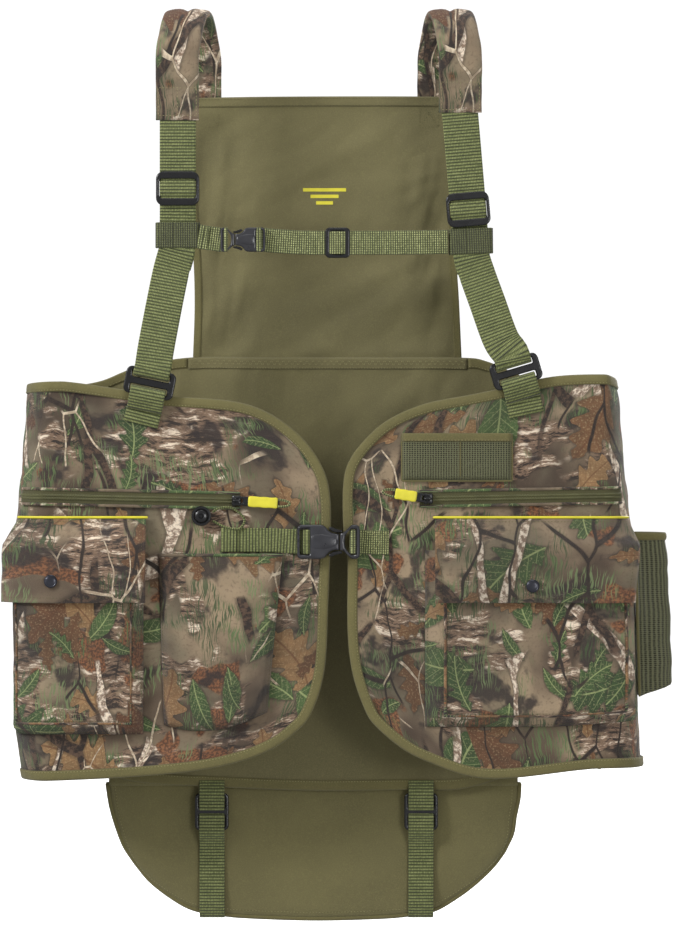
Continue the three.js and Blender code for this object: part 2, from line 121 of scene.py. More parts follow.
# ---- meshes ----
def mesh_object(name, verts, faces, materials, uvs=None, slots=None):
    data = bpy.data.meshes.new(name)
    data.from_pydata([tuple(c * MM for c in v) for v in verts], [], faces)
    if uvs:
        layer = data.uv_layers.new(name="cloth")
        for loop in data.loops:
            layer.data[loop.index].uv = [c * MM for c in uvs[loop.vertex_index]]
    for m in materials:
        data.materials.append(m)
    if slots:
        for poly, slot in zip(data.polygons, slots):
            poly.material_index = slot
    data.shade_smooth()
    obj = bpy.data.objects.new(name, data)
    scene.collection.objects.link(obj)
    return obj


def cloth(name, nu, nv, f, cut, thick, front, rear=None, shift=(0, 0), outward=None):
    """A sheet from f(u, v) with its cut size in millimetres; front shows on the side of the normal `outward`. shift, in metres,
    is where on the roll it was cut."""
    verts = [f(i / nu, j / nv) for j in range(nv + 1) for i in range(nu + 1)]
    faces = [(j * (nu + 1) + i, j * (nu + 1) + i + 1, (j + 1) * (nu + 1) + i + 1, (j + 1) * (nu + 1) + i)
        for j in range(nv) for i in range(nu)]
    a, b, c = (Vector(verts[k]) for k in faces[(nv // 2) * nu + nu // 2][:3])
    if outward is not None and (b - a).cross(c - b).dot(Vector(outward)) < 0:
        faces = [f[::-1] for f in faces]
    uvs = [(shift[0] * 1000 + i / nu * cut[0],
        shift[1] * 1000 + j / nv * cut[1]) for j in range(nv + 1) for i in range(nu + 1)]
    obj = mesh_object(name, verts, faces, [front, rear or front], uvs)
    solid = obj.modifiers.new("layers", "SOLIDIFY")
    solid.thickness, solid.offset, solid.material_offset = thick * MM, -1, 1
    solid.use_even_offset = False
    return obj


def strap(name, points, width, thick, across, material, n=None, curl=0.0, flat_uv=0):
    """Webbing along points, its width along `across`: rounded edges, cut size kept in the UVs."""
    line, side = Line(points), Vector(across)
    n = n or max(8, int(line.length / 4))
    prof = [(-0.5, 0.0), (-0.485, 0.42), (-0.44, 0.5), (0.44, 0.5), (0.485, 0.42), (0.5, 0.0), (0.485, -0.42),
        (0.44, -0.5), (-0.44, -0.5), (-0.485, -0.42)]
    verts, uvs = [], []
    for i in range(n + 1):
        p, t = line.at(i / n), line.way(i / n)
        nrm = t.cross(side).normalized()
        a = nrm.cross(t).normalized()
        wob = curl * noise.noise(Vector((i / n * line.length / 40, 0, len(name))))
        for k, (s, h) in enumerate(prof):
            verts.append(p + a * s * width + nrm * (h * thick + wob * s * 2))
            uvs.append((s * width + flat_uv, i / n * line.length))
    m = len(prof)
    faces = [(i * m + k, i * m + (k + 1) % m, (i + 1) * m + (k + 1) % m, (i + 1) * m + k)
        for i in range(n) for k in range(m)]
    faces += [tuple(range(m))[::-1], tuple(range(n * m, n * m + m))]
    obj = mesh_object(name, verts, faces, [material], uvs)
    return obj


def stitches(name, rows, material, pitch=3.4, size=2.3, thick=0.32):
    """Thread lying along each row, a list of points on the cloth."""
    verts, faces = [], []
    for row in rows:
        line = Line(row, 6)
        n = max(1, int(line.length / pitch))
        for i in range(n):
            t = (i + 0.5) / n
            p, d = line.at(t), line.way(t)
            up = Vector((0, -1, 0)) if abs(d.y) < 0.9 else Vector((1, 0, 0))
            side = d.cross(up).normalized()
            up = side.cross(d)
            b = len(verts)
            verts += [p - d * size / 2, p + side * thick, p + up * thick, p - side * thick, p - up * thick,
                p + d * size / 2]
            faces += [(b, b + 2, b + 1), (b, b + 3, b + 2), (b, b + 4, b + 3), (b, b + 1, b + 4),
                (b + 5, b + 1, b + 2), (b + 5, b + 2, b + 3), (b + 5, b + 3, b + 4), (b + 5, b + 4, b + 1)]
    return mesh_object(name, verts, faces, [material])


def tube(name, points, radius, material, n=None, sides=10, flatten=1.0):
    line = Line(points)
    n = n or max(8, int(line.length / 3))
    verts, faces, uvs = [], [], []
    up = Vector((0, -1, 0))
    for i in range(n + 1):
        p, t = line.at(i / n), line.way(i / n)
        side = t.cross(up).normalized() if abs(t.dot(up)) < 0.98 else Vector((1, 0, 0))
        up = side.cross(t).normalized()
        r = radius * (0.55 if i in (0, n) else 1)
        verts += [p + (side * math.cos(a) + up * math.sin(a) * flatten) * r
            for a in (2 * math.pi * k / sides for k in range(sides))]
        uvs += [(k * 2 * math.pi * radius / sides, i / n * line.length) for k in range(sides)]
    for i in range(n):
        faces += [(i * sides + k, i * sides + (k + 1) % sides, (i + 1) * sides + (k + 1) % sides,
            (i + 1) * sides + k)
            for k in range(sides)]
    faces += [tuple(range(sides))[::-1], tuple(range(n * sides, (n + 1) * sides))]
    return mesh_object(name, verts, faces, [material], uvs)


def in_frame(origin, x_axis, y_axis):
    """Local to vest coordinates: x and y along the given axes, z along their cross product."""
    o, x, y = Vector(origin), Vector(x_axis).normalized(), Vector(y_axis).normalized()
    z = x.cross(y)
    return lambda p: o + x * p[0] + y * p[1] + z * p[2]


def moulded(name, outer, holes, thick, edge, material, to):
    """A moulded plate from closed outlines in its own x and y, with rounded edges."""
    curve = bpy.data.curves.new(name, "CURVE")
    curve.dimensions, curve.fill_mode = "2D", "BOTH"
    curve.extrude, curve.bevel_depth, curve.bevel_resolution, curve.offset = (thick / 2 - edge) * MM, edge * MM, 3, -edge * MM
    for ring in (outer, *holes):
        spline = curve.splines.new("POLY")
        spline.points.add(len(ring) - 1)
        spline.use_cyclic_u = True
        for q, (x, y) in zip(spline.points, ring):
            q.co = (x * MM, y * MM, 0, 1)
    flat = bpy.data.objects.new(name + "_outline", curve)
    scene.collection.objects.link(flat)
    data = bpy.data.meshes.new_from_object(flat.evaluated_get(bpy.context.evaluated_depsgraph_get()))
    bpy.data.objects.remove(flat)
    bpy.data.curves.remove(curve)
    data.name = name
    for v in data.vertices:
        v.co = to([c / MM for c in v.co]) * MM
    data.materials.clear()
    data.materials.append(material)
    data.shade_smooth()
    obj = bpy.data.objects.new(name, data)
    scene.collection.objects.link(obj)
    obj.modifiers.new("even", "WEIGHTED_NORMAL")
    return obj


def ring(w, h, r, at=(0, 0), n=6):
    """The outline of a rectangle with round corners."""
    out = []
    for cx, cy, start in ((1, 1, 0), (-1, 1, 1), (-1, -1, 2), (1, -1, 3)):
        for k in range(n + 1):
            a = math.pi / 2 * (start + k / n)
            out.append((at[0] + cx * (w / 2 - r) + r * math.cos(a), at[1] + cy * (h / 2 - r) + r * math.sin(a)))
    return out


def mirrored(half):
    """A closed outline from its upper half, given from left to right."""
    return [*half, *((x, -y) for x, y in reversed(half) if abs(y) > 1e-6)]


def blob(name, stations, to, material, power=0.7, n=32):
    """A rounded bar along x; each station is (along, half width, half height, lift, shift)."""
    verts = []
    for t, w, h, *rest_of in stations:
        lift, shift = (*rest_of, 0, 0)[:2]
        for k in range(n):
            c, d = math.cos(2 * math.pi * k / n), math.sin(2 * math.pi * k / n)
            verts.append(to((t, shift + w * math.copysign(abs(c) ** power, c),
                lift + h * math.copysign(abs(d) ** power, d))))
    m = len(stations)
    faces = [(i * n + k, i * n + (k + 1) % n, (i + 1) * n + (k + 1) % n,
        (i + 1) * n + k) for i in range(m - 1) for k in range(n)]
    faces += [tuple(range(n))[::-1], tuple(range((m - 1) * n, m * n))]
    uvs = [(k * 0.8, i * 2.0) for i in range(m) for k in range(n)]
    obj = mesh_object(name, verts, faces, [material], uvs)
    return obj


def lathe(name, profile, to, material, n=48):
    """A turned piece round the local z axis from (radius, height) pairs."""
    verts = [to((r * math.cos(2 * math.pi * k / n), r * math.sin(2 * math.pi * k / n), h)) for r,
        h in profile for k in range(n)]
    m = len(profile)
    faces = [(i * n + k, i * n + (k + 1) % n, (i + 1) * n + (k + 1) % n,
        (i + 1) * n + k) for i in range(m - 1) for k in range(n)]
    faces += [tuple(range(n))[::-1], tuple(range((m - 1) * n, m * n))]
    obj = mesh_object(name, verts, faces, [material])
    obj.data.set_sharp_from_angle(angle=math.radians(50))
    return obj


# ---- materials ----
class Nodes:
    """Short hand for building one material's node tree."""

    def __init__(self, name):
        self.material = bpy.data.materials.new(name)
        self.material.use_nodes = True
        self.tree = self.material.node_tree
        self.shader = self.tree.nodes["Principled BSDF"]

    def node(self, kind, values=None, **settings):
        n = self.tree.nodes.new(kind)
        for k, v in settings.items():
            setattr(n, k, v)
        for k, v in (values or {}).items():
            self.put(n.inputs[k], v)
        return n

    def put(self, socket, value):
        if isinstance(value, bpy.types.NodeSocket):
            self.tree.links.new(value, socket)
        else:
            socket.default_value = value

    def math(self, op, a, b=0.0, c=0.0, clamped=False):
        n = self.node("ShaderNodeMath", {0: a, 1: b, 2: c}, operation=op, use_clamp=clamped)
        return n.outputs[0]

    def step(self, value, low, high):
        n = self.node("ShaderNodeMapRange", {"Value": value, "From Min": low, "From Max": high},
            interpolation_type="SMOOTHSTEP")
        return n.outputs["Result"]

    def mix(self, factor, a, b):
        n = self.node("ShaderNodeMix", data_type="RGBA")
        for socket, v in ((n.inputs[0], factor), (n.inputs[6], a), (n.inputs[7], b)):
            self.put(socket, v)
        return n.outputs[2]

    def uv(self, scale=(1, 1, 1), turn=0.0, at=(0, 0, 0)):
        if not hasattr(self, "_uv"):
            self._uv = self.node("ShaderNodeUVMap", uv_map="cloth").outputs[0]
        return self.node("ShaderNodeMapping", {"Vector": self._uv, "Scale": scale, "Rotation": (0, 0, turn),
            "Location": at}).outputs[0]

    def place(self):
        return self.node("ShaderNodeTexCoord").outputs["Object"]

    def noise(self, vector, scale, detail=3.0, rough=0.55, warp=0.0):
        return self.node("ShaderNodeTexNoise", {"Vector": vector, "Scale": scale, "Detail": detail,
            "Roughness": rough,
            "Distortion": warp}, noise_dimensions="3D").outputs[0]

    def finish(self, colour, rough, height=None, depth=0.0004, strength=0.6, sheen=0.0):
        self.put(self.shader.inputs["Base Color"], colour)
        self.put(self.shader.inputs["Roughness"], rough)
        self.shader.inputs["Sheen Weight"].default_value = sheen
        if height is not None:
            bump = self.node("ShaderNodeBump", {"Height": height, "Distance": depth, "Strength": strength})
            self.put(self.shader.inputs["Normal"], bump.outputs[0])
        return self.material


def rgb(r, g, b):
    """A linear colour from 0 to 255 display values."""
    return tuple(((c / 255 + 0.055) / 1.055) ** 2.4 if c > 10 else c / 255 / 12.92 for c in (r, g, b)) + (1,)


def weave(n, pitch):
    """Over-and-under threads of that pitch in metres, from the cut's own coordinates."""
    parts = n.node("ShaderNodeSeparateXYZ", {0: n.uv()}).outputs
    waves = [n.math("SINE", n.math("MULTIPLY", parts[k], 2 * math.pi / pitch)) for k in (0, 1)]
    return n.math("MULTIPLY", waves[0], waves[1])


def olive_cloth(name="olive_cloth", tint=(106, 100, 63), pitch=0.0011):
    n = Nodes(name)
    where = n.place()
    blotch = n.noise(where, 9, 4, 0.6)
    fleck = n.noise(where, 900, 2)
    base = n.mix(n.step(blotch, 0.3, 0.7), rgb(*(c * 0.94 for c in tint)), rgb(*(c * 1.04 for c in tint)))
    colour = n.mix(n.math("MULTIPLY", n.step(fleck, 0.4, 0.75), 0.35), base, rgb(*(c * 1.32 for c in tint)))
    creases = n.noise(where, 38, 5, 0.62, 0.6)
    height = n.math("ADD", n.math("MULTIPLY", weave(n, pitch), 0.12), n.math("MULTIPLY", creases, 1.0))
    return n.finish(colour, 0.86, height, 0.0028, 0.55, 0.12)


def webbing(name="webbing", checker=False, tones=((24, 29, 12), (90, 97, 50), (140, 146, 92))):
    n = Nodes(name)
    parts = n.node("ShaderNodeSeparateXYZ", {0: n.uv()}).outputs
    rib = n.math("ABSOLUTE", n.math("SINE",
        n.math("MULTIPLY", parts[1], math.pi / (0.0033 if not checker else 0.0024))))
    thread = n.math("ABSOLUTE", n.math("SINE",
        n.math("MULTIPLY", parts[0], math.pi / (0.0016 if not checker else 0.0024))))
    cell = n.math("MULTIPLY", n.math("POWER", rib, 0.7), n.math("MULTIPLY_ADD", thread, 0.45, 0.55))
    wander = n.math("ADD", n.noise(n.uv((900, 330, 1)), 1, 2),
        n.math("MULTIPLY", n.noise(n.uv((60, 90, 1)), 1, 3), 0.5))
    lift = n.math("MULTIPLY", cell, n.math("MULTIPLY_ADD", wander, 1.1, 0.12))
    # The colour follows the weave's height: the first of the tones is painted shade in the hollows between threads,
    # the second the threads' own colour, the third a painted highlight on their raised tops; wander varies the tone at
    # random.
    colour = n.mix(n.step(lift, 0.08, 0.6), rgb(*tones[0]), rgb(*tones[1]))
    colour = n.mix(n.step(lift, 0.62, 1.0), colour, rgb(*tones[2]))
    return n.finish(colour, 0.7, cell, 0.0009, 0.9, 0.1)


def camo(name="camo_cloth"):
    """A plain woodland print of our own: taupe ground, bark, leaves strewn cell by cell, twigs and forked branches."""
    n = Nodes(name)
    flat = n.uv()

    def bent(amount, scale):
        drift = n.node("ShaderNodeTexNoise", {"Vector": flat, "Scale": scale, "Detail": 2}).outputs["Color"]
        step = n.node("ShaderNodeVectorMath", {0: drift, 1: (amount, amount, 0)},
            operation="MULTIPLY").outputs[0]
        return n.node("ShaderNodeVectorMath", {0: flat, 1: step}, operation="ADD").outputs[0]

    loose, tight = bent(0.05, 9), bent(0.016, 34)

    def spot(scale, turn=0.0, at=(0, 0, 0), detail=3, rough=0.55, base=None):
        where = n.node("ShaderNodeMapping", {"Vector": base or loose, "Scale": scale,
            "Rotation": (0, 0, turn), "Location": at})
        return n.noise(where.outputs[0], 1, detail, rough)

    def over(colour, mask, tone, strength=1.0):
        return n.mix(n.math("MULTIPLY", mask, strength), colour, tone)

    # ground: soft out-of-focus taupe and grey
    colour = n.mix(n.step(spot((8, 8, 1)), 0.36, 0.64), rgb(78, 66, 56), rgb(152, 137, 116))
    colour = over(colour, n.step(spot((15, 15, 1), 0, (4, 2, 0)), 0.45, 0.7), rgb(118, 114, 96), 0.6)
    colour = over(colour, n.step(spot((260, 260, 1), 0, (1, 1, 0), 2), 0.5, 0.7), rgb(92, 78, 66), 0.35)

    # bark: streaks of dark and pale in patches, and orange-brown dead leaf
    for scale, turn, at, cut in (((7, 11, 1), 0.2, (9, 1, 0), 0.54), ((9, 6, 1), 0.9, (3, 8, 0), 0.57)):
        grain = spot((24, 120, 1), turn + 1.3, at, 6, 0.78, tight)
        bark = n.mix(n.step(grain, 0.43, 0.50), rgb(44, 35, 33), rgb(128, 108, 92))
        bark = n.mix(n.step(grain, 0.53, 0.60), bark, rgb(214, 203, 188))
        colour = over(colour, n.step(spot(scale, turn, at), cut, cut + 0.03), bark, 0.95)
    dead = n.mix(n.step(spot((330, 330, 1), 0, (0, 0, 0), 2, base=flat), 0.4, 0.62), rgb(86, 58, 42),
        rgb(138, 96, 66))
    colour = over(colour, n.step(spot((11, 11, 1), 0, (2, 7, 0), 2), 0.60, 0.615), dead, 0.95)
    colour = over(colour, n.step(spot((19, 19, 1), 0, (5, 5, 0), 4), 0.54, 0.63), rgb(46, 39, 40), 0.88)

    # pine needles: short green strokes in clumps
    for turn, at, tone in ((0.5, (1, 2, 0), (112, 128, 92)), (1.7, (6, 2, 0), (66, 84, 56)),
        (2.6, (3, 5, 0), (92, 112, 74))):
        stroke = spot((620, 46, 1), turn, at, 1, 0.3, tight)
        clump = n.step(spot((13, 13, 1), 0, (at[1], at[0], 0), 2), 0.55, 0.62)
        colour = over(colour, n.math("MULTIPLY", n.step(stroke, 0.52, 0.58), clump), rgb(*tone), 0.9)

    # leaves: a cell holds one, turned and tinted by the cell's own random colour
    for cells, long, wide, chance, seed in ((9.5, 0.47, 0.29, 0.60, 3.1), (13, 0.45, 0.22, 0.5, 8.7),
        (19, 0.44, 0.18, 0.40, 5.3)):
        moved = n.node("ShaderNodeVectorMath", {0: flat, 1: (seed, seed * 1.7, 0)}, operation="ADD").outputs[0]
        spread = n.node("ShaderNodeVectorMath", {0: moved, 1: (cells, cells, 1)},
            operation="MULTIPLY").outputs[0]
        cell = n.node("ShaderNodeTexVoronoi", {"Vector": spread, "Scale": 1.0, "Randomness": 0.95},
            voronoi_dimensions="2D")
        away = n.node("ShaderNodeVectorMath", {0: spread, 1: cell.outputs["Position"]},
            operation="SUBTRACT").outputs[0]
        tint = n.node("ShaderNodeSeparateColor", {0: cell.outputs["Color"]}).outputs
        turned = n.node("ShaderNodeVectorRotate", {"Vector": away, "Angle": n.math("MULTIPLY", tint[0], 6.283)},
            rotation_type="Z_AXIS").outputs[0]
        x, y0, _ = n.node("ShaderNodeSeparateXYZ", {0: turned}).outputs
        y = n.math("ADD", y0, n.math("MULTIPLY", n.math("MULTIPLY", x, x), 0.35))
        side = n.math("ABSOLUTE", y)
        reach = n.math("DIVIDE", x, long)
        lobes = n.math("MULTIPLY_ADD", n.math("COSINE",
            n.math("MULTIPLY", n.math("SUBTRACT", x, n.math("MULTIPLY", side, 0.5)), 31)),
            n.math("MULTIPLY", n.math("GREATER_THAN", tint[2], 0.35), 0.27), 0.76)
        half = n.math("MULTIPLY", n.math("MULTIPLY",
            n.math("SUBTRACT", 1.0, n.math("MULTIPLY", reach, reach)), wide), lobes)
        ragged = n.math("MULTIPLY", n.math("SUBTRACT", n.noise(flat, 190, 2), 0.5), 0.05)
        inside = n.math("ADD", n.math("SUBTRACT", half, side), ragged)
        present = n.math("LESS_THAN", tint[1], chance)
        green = n.math("LESS_THAN", tint[2], 0.56)
        tone = n.mix(green, n.mix(tint[0], rgb(98, 66, 46), rgb(150, 122, 88)),
            n.mix(tint[1], rgb(50, 76, 44), rgb(94, 118, 72)))
        tone = n.mix(n.step(spot((60, 60, 1), 0, (seed, 0, 0), 4), 0.35, 0.68),
            n.mix(0.3, tone, rgb(34, 34, 26)), tone)
        tone = over(tone, n.step(n.noise(flat, 420, 2), 0.5, 0.72), n.mix(0.5, tone, rgb(210, 196, 160)), 0.5)
        rib_at = n.math("SINE", n.math("MULTIPLY", n.math("SUBTRACT", x, n.math("MULTIPLY", side, 0.9)), 62))
        ribs = n.math("MULTIPLY", n.step(rib_at, 0.93, 0.995),
            n.math("SUBTRACT", 1.0, n.step(side, wide * 0.5, wide * 0.9)))
        vein = n.math("MAXIMUM", n.math("SUBTRACT", 1.0, n.step(side, 0.006, 0.013)),
            n.math("MULTIPLY", ribs, 0.75))
        tone = over(tone, vein, n.mix(green, rgb(98, 64, 42), rgb(164, 174, 126)), 0.6)
        shadow = n.math("MULTIPLY", n.step(inside, -0.045, 0.01), present)
        colour = over(colour, shadow, rgb(44, 38, 33), 0.6)
        colour = over(colour, n.math("MULTIPLY", n.step(inside, 0.0, 0.008), present), tone)

    # forked branches and twigs, along the walls of bent cells
    for scale, wide, at, cut, turn, tones in ((8, 0.034, (2, 3, 0), 0.52, 0.5,
        ((212, 202, 188), (128, 110, 96))),
            (10, 0.030, (7, 1, 0), 0.55, -0.8, ((92, 74, 62), (44, 35, 32))),
                (21, 0.026, (4, 4, 0), 0.52, 1.1, ((58, 46, 40), (40, 32, 30))),
            (26, 0.020, (9, 6, 0), 0.60, -0.3, ((198, 188, 170), (160, 146, 128)))):
        where = n.node("ShaderNodeMapping", {"Vector": loose, "Scale": (scale, scale * 0.42, 1),
            "Rotation": (0, 0, turn),
            "Location": at}).outputs[0]
        wall = n.node("ShaderNodeTexVoronoi", {"Vector": where, "Scale": 1.0}, voronoi_dimensions="2D",
            feature="DISTANCE_TO_EDGE").outputs["Distance"]
        keep = n.step(spot((6, 6, 1), 0, at, 1), cut, cut + 0.02)
        girth = n.math("MULTIPLY_ADD", spot((9, 9, 1), 0, (at[1], at[1], 0), 1), wide * 1.6, wide * 0.2)
        body = n.math("SUBTRACT", 1.0, n.step(wall, n.math("MULTIPLY", girth, 0.86), girth))
        shade = n.math("SUBTRACT", 1.0, n.step(wall, girth, n.math("MULTIPLY", girth, 1.7)))
        colour = over(colour, n.math("MULTIPLY", shade, keep), rgb(52, 44, 38), 0.45)
        bark = n.mix(n.step(spot((150, 150, 1), 0, at, 3, 0.7), 0.42, 0.62), rgb(*tones[1]), rgb(*tones[0]))
        colour = over(colour, n.math("MULTIPLY", body, keep), bark)

    colour = over(colour, n.step(n.noise(flat, 1500, 2), 0.35, 0.75), rgb(170, 158, 140), 0.10)
    colour = n.node("ShaderNodeGamma", {"Color": colour, "Gamma": 1.2}).outputs[0]
    colour = n.node("ShaderNodeVectorMath", {0: colour, 1: (1.5, 1.46, 1.4)}, operation="MULTIPLY").outputs[0]
    depth = n.step(spot((5, 5, 1), 0, (3, 9, 0), 3), 0.34, 0.56)
    colour = n.mix(depth, n.mix(0.42, colour, rgb(38, 36, 30)), colour)
    creases = n.noise(n.place(), 34, 4, 0.6, 0.5)
    height = n.math("ADD", n.math("MULTIPLY", weave(n, 0.0012), 0.12), creases)
    return n.finish(colour, 0.88, height, 0.0034, 0.7, 0.1)


def plain(name, tint, rough, grain=700, depth=0.00012, metal=0.0, vary=0.15):
    n = Nodes(name)
    speck = n.noise(n.place(), grain, 3)
    worn = n.noise(n.place(), 60, 4)
    colour = n.mix(n.step(worn, 0.3, 0.75), rgb(*tint), rgb(*(min(255, c * (1 + vary) + 4) for c in tint)))
    n.shader.inputs["Metallic"].default_value = metal
    return n.finish(colour, n.math("MULTIPLY_ADD", worn, 0.18, rough - 0.08), speck, depth, 0.5)


def netting():
    n = Nodes("mesh_net")
    pores = n.node("ShaderNodeTexVoronoi", {"Vector": n.uv((1, 1.25, 1)), "Scale": 330, "Randomness": 0.1},
        voronoi_dimensions="2D").outputs["Distance"]
    wall = n.step(pores, 0.26, 0.36)
    thread = n.noise(n.uv(), 1500, 2)
    # The pores are not left clear: a near-black tone covers part of each hole as painted shade of what lies behind the
    # net, and the walls between them carry the thread colour.
    colour = n.mix(wall, rgb(30, 32, 20), n.mix(thread, rgb(66, 68, 42), rgb(108, 108, 76)))
    n.put(n.shader.inputs["Alpha"], n.math("MULTIPLY_ADD", wall, 0.55, 0.45))
    return n.finish(colour, 0.75, wall, 0.0006, 0.8, 0.1)


CAMO, OLIVE, LINING = camo(), olive_cloth(), olive_cloth("olive_lining", (104, 98, 64))
BINDING = olive_cloth("olive_binding", (98, 92, 54), 0.0016)
RIBBED = webbing()
CHECKED = webbing("webbing_fine", True, ((22, 26, 12), (92, 98, 54), (170, 174, 120)))
DENSE = webbing("webbing_dense", True, ((24, 26, 14), (66, 70, 38), (98, 102, 62)))
BLACK = plain("black_plastic", (11, 11, 13), 0.26)
BUCKLE = plain("buckle_plastic", (38, 38, 42), 0.28)
YELLOW = plain("yellow_trim", (202, 192, 46), 0.46, 900, 0.0002, vary=0.05)
TAPE = olive_cloth("zip_tape", (70, 68, 38), 0.0014)
COIL = plain("zip_coil", (92, 92, 60), 0.4)
SNAP = plain("snap_metal", (44, 45, 52), 0.3, metal=0.6)
CORD = webbing("elastic", True)
THREAD = plain("thread", (78, 74, 42), 0.7)
PALE_THREAD = plain("thread_pale", (140, 134, 92), 0.7)
NET = netting()

# ---- stage, camera and light ----
VIEW_HIGH, VIEW_X, VIEW_Z, FAR = 977.6, 12, -473, 5000
camera = bpy.data.objects.new("camera", bpy.data.cameras.new("camera"))
scene.collection.objects.link(camera)
scene.camera = camera
camera.location = (VIEW_X * MM, -(FAR + OUT) * MM, VIEW_Z * MM)
camera.rotation_euler = (math.pi / 2, 0, 0)
camera.data.sensor_fit = "VERTICAL"
camera.data.sensor_height = 36
camera.data.lens = 36 * FAR / VIEW_HIGH
camera.data.clip_end = 60


def backdrop():
    """A plain pale floor under a white dome, which lets the lamps through."""
    floor, half, dome = -1010, 15000, 16000
    n = Nodes("studio_floor")
    pale = n.finish(rgb(250, 250, 250), 0.9)
    n.shader.inputs["Emission Color"].default_value = (1, 1, 1, 1)
    n.shader.inputs["Emission Strength"].default_value = 0.66
    corners = [(-half, -half, floor), (half, -half, floor), (half, half, floor), (-half, half, floor)]
    ground = mesh_object("studio_floor", corners, [(0, 1, 2, 3)], [pale])
    n = Nodes("studio_dome")
    white = n.finish((0, 0, 0, 1), 1.0)
    n.shader.inputs["Specular IOR Level"].default_value = 0
    n.shader.inputs["Emission Color"].default_value = (1, 1, 1, 1)
    n.shader.inputs["Emission Strength"].default_value = 1.05
    rows, cols = 12, 32
    verts = [(dome * math.sin(math.pi * j / rows) * math.cos(2 * math.pi * i / cols),
        dome * math.sin(math.pi * j / rows) * math.sin(2 * math.pi * i / cols),
        dome * math.cos(math.pi * j / rows))
        for j in range(rows + 1) for i in range(cols)]
    faces = [(j * cols + i, j * cols + (i + 1) % cols, (j + 1) * cols + (i + 1) % cols, (j + 1) * cols + i)
        for j in range(rows) for i in range(cols)]
    sky = mesh_object("studio_dome", verts, faces, [white])
    for obj in (ground, sky):
        obj.visible_diffuse = obj.visible_glossy = obj.visible_transmission = False
    sky.visible_shadow = False


def lamp(name, at, aim, size, power, tint=(1, 1, 1)):
    data = bpy.data.lights.new(name, "AREA")
    data.shape, data.size, data.energy, data.color = "SQUARE", size, power, tint
    obj = bpy.data.objects.new(name, data)
    obj.location = at
    obj.rotation_euler = (Vector(aim) - Vector(at)).to_track_quat("-Z", "Y").to_euler()
    scene.collection.objects.link(obj)


backdrop()
lamp("key", (-2.6, -1.8, 1.1), (0, 0, -0.5), 1.0, 100)
lamp("fill", (1.6, -3.0, -0.45), (0, 0, -0.7), 1.0, 34)
lamp("top", (0, -0.6, 2.6), (0, 0, -0.4), 1.6, 24)
lamp("rear", (1.9, 2.6, 0.8), (0, 0, -0.5), 1.4, 80)
world = bpy.data.worlds.new("studio")
scene.world = world
world.use_nodes = True
world.node_tree.nodes["Background"].inputs[0].default_value = (1, 1, 1, 1)
world.node_tree.nodes["Background"].inputs[1].default_value = 0.52
scene.view_settings.view_transform = "Standard"


def place(obj, body, slot_name, *nodes):
    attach(obj, body)
    if nodes:
        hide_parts(*nodes)
    return obj


# ---- the elastic of the cord lock: a short loop out of the lock and back ----
LOCK_X, LOCK_Y, LOCK_Z = -133, -OUT - 2, -526
route = [Vector((LOCK_X + dx, LOCK_Y - 3, LOCK_Z + dz)) for dx,
    dz in ((11.6, 4), (20, 8.6), (33, 8), (45, -3), (40, -13),
    (26, -12), (11.6, -5))]
elastic_line = Line(route)
elastic = tube("lock_elastic", route, 1.3, CORD, 60, 10)
place(elastic, "right_front", "elastic_cord", "right_lock_cord")

# ---- yoke and back ----
yoke = patch([(-145, -364), (-60, -364), (60, -364), (143, -364)],
    [(-160, -80), (-60, -78.4), (60, -78), (141, -78.5)],
    [(-145, -364), (-143, -300), (-145, -240), (-152, -150), (-160, -80)],
    [(143, -364), (140, -299), (137, -240), (138, -150), (141, -78.5)])


def rim(u, v):
    return smooth(0, 0.07, min(u, 1 - u)) * smooth(0, 0.06, min(v, 1 - v))


def yoke_point(u, v, off=0.0):
    x, z = yoke(u, v)
    soft = 4.8 * fold(x, z, 85, 2, 1.8, 1.0) + 3.4 * fold(x, z, 42, 9, 2.6, 0.5)
    soft += 5.6 * smooth(60, 0, abs(abs(x) - 112)) * smooth(-100, -170, z) * fold(x, z, 24, 4, 3.4, 1.4)
    return (x, HALF + 0.2 + 1.4 * smooth(-352, -360, z) + soft * rim(u, v) - off, z)


place(cloth("yoke_cloth", 90, 84, yoke_point, (300, 278), 3.4, LINING, CAMO, outward=(0, -1, 0)),
    "harness", "olive_fabric", "back_yoke")


def band(name, body, f, u0, u1, v0, v1, nu, nv, cut, material, raise_by, body_slot="olive_fabric", bulge=0.35):
    """A hem or binding: a strip of the same surface, laid on it and slightly crowned."""
    def strip(a, b):
        return f(lerp(u0, u1, a), lerp(v0, v1, b), raise_by + bulge * (1 - (2 * b - 1) ** 4))
    obj = cloth(name, nu, nv, strip, cut, 0.9, material, outward=(0, -1, 0))
    return place(obj, body, body_slot)


band("yoke_top_hem", "harness", yoke_point, 0.001, 0.999, 0.962, 0.999, 80, 6, (300, 10), LINING, 0.7)
for side, (a, b) in {"right": (0.001, 0.028), "left": (0.999, 0.972)}.items():
    band(f"yoke_{side}_binding", "harness", lambda u, v, off: yoke_point(v, u, off), 0.002, 0.96, a, b, 80, 6,
        (270, 8), BINDING, 0.7)


def along(f, u0, u1, v0, v1, off, n=14):
    return [f(lerp(u0, u1, k / n), lerp(v0, v1, k / n), off) for k in range(n + 1)]


rows = [along(yoke_point, 0.01, 0.99, 0.966, 0.966, 1.5), along(yoke_point, 0.01, 0.99, 0.992, 0.992, 1.5),
    along(yoke_point, 0.024, 0.024, 0.02, 0.95, 1.5), along(yoke_point, 0.976, 0.976, 0.02, 0.95, 1.5)]
for x0, x1 in ((-137, -117), (98, 118)):
    box = [(x0, -82), (x1, -82), (x1, -111), (x0, -111), (x0, -82), (x1, -111), (x1, -82), (x0, -111)]
    for (xa, za), (xb, zb) in zip(box, box[1:]):
        rows.append([(lerp(xa, xb, k / 2), HALF - 0.9, lerp(za, zb, k / 2)) for k in range(3)])
place(stitches("yoke_stitches", rows, THREAD), "harness", "olive_fabric")

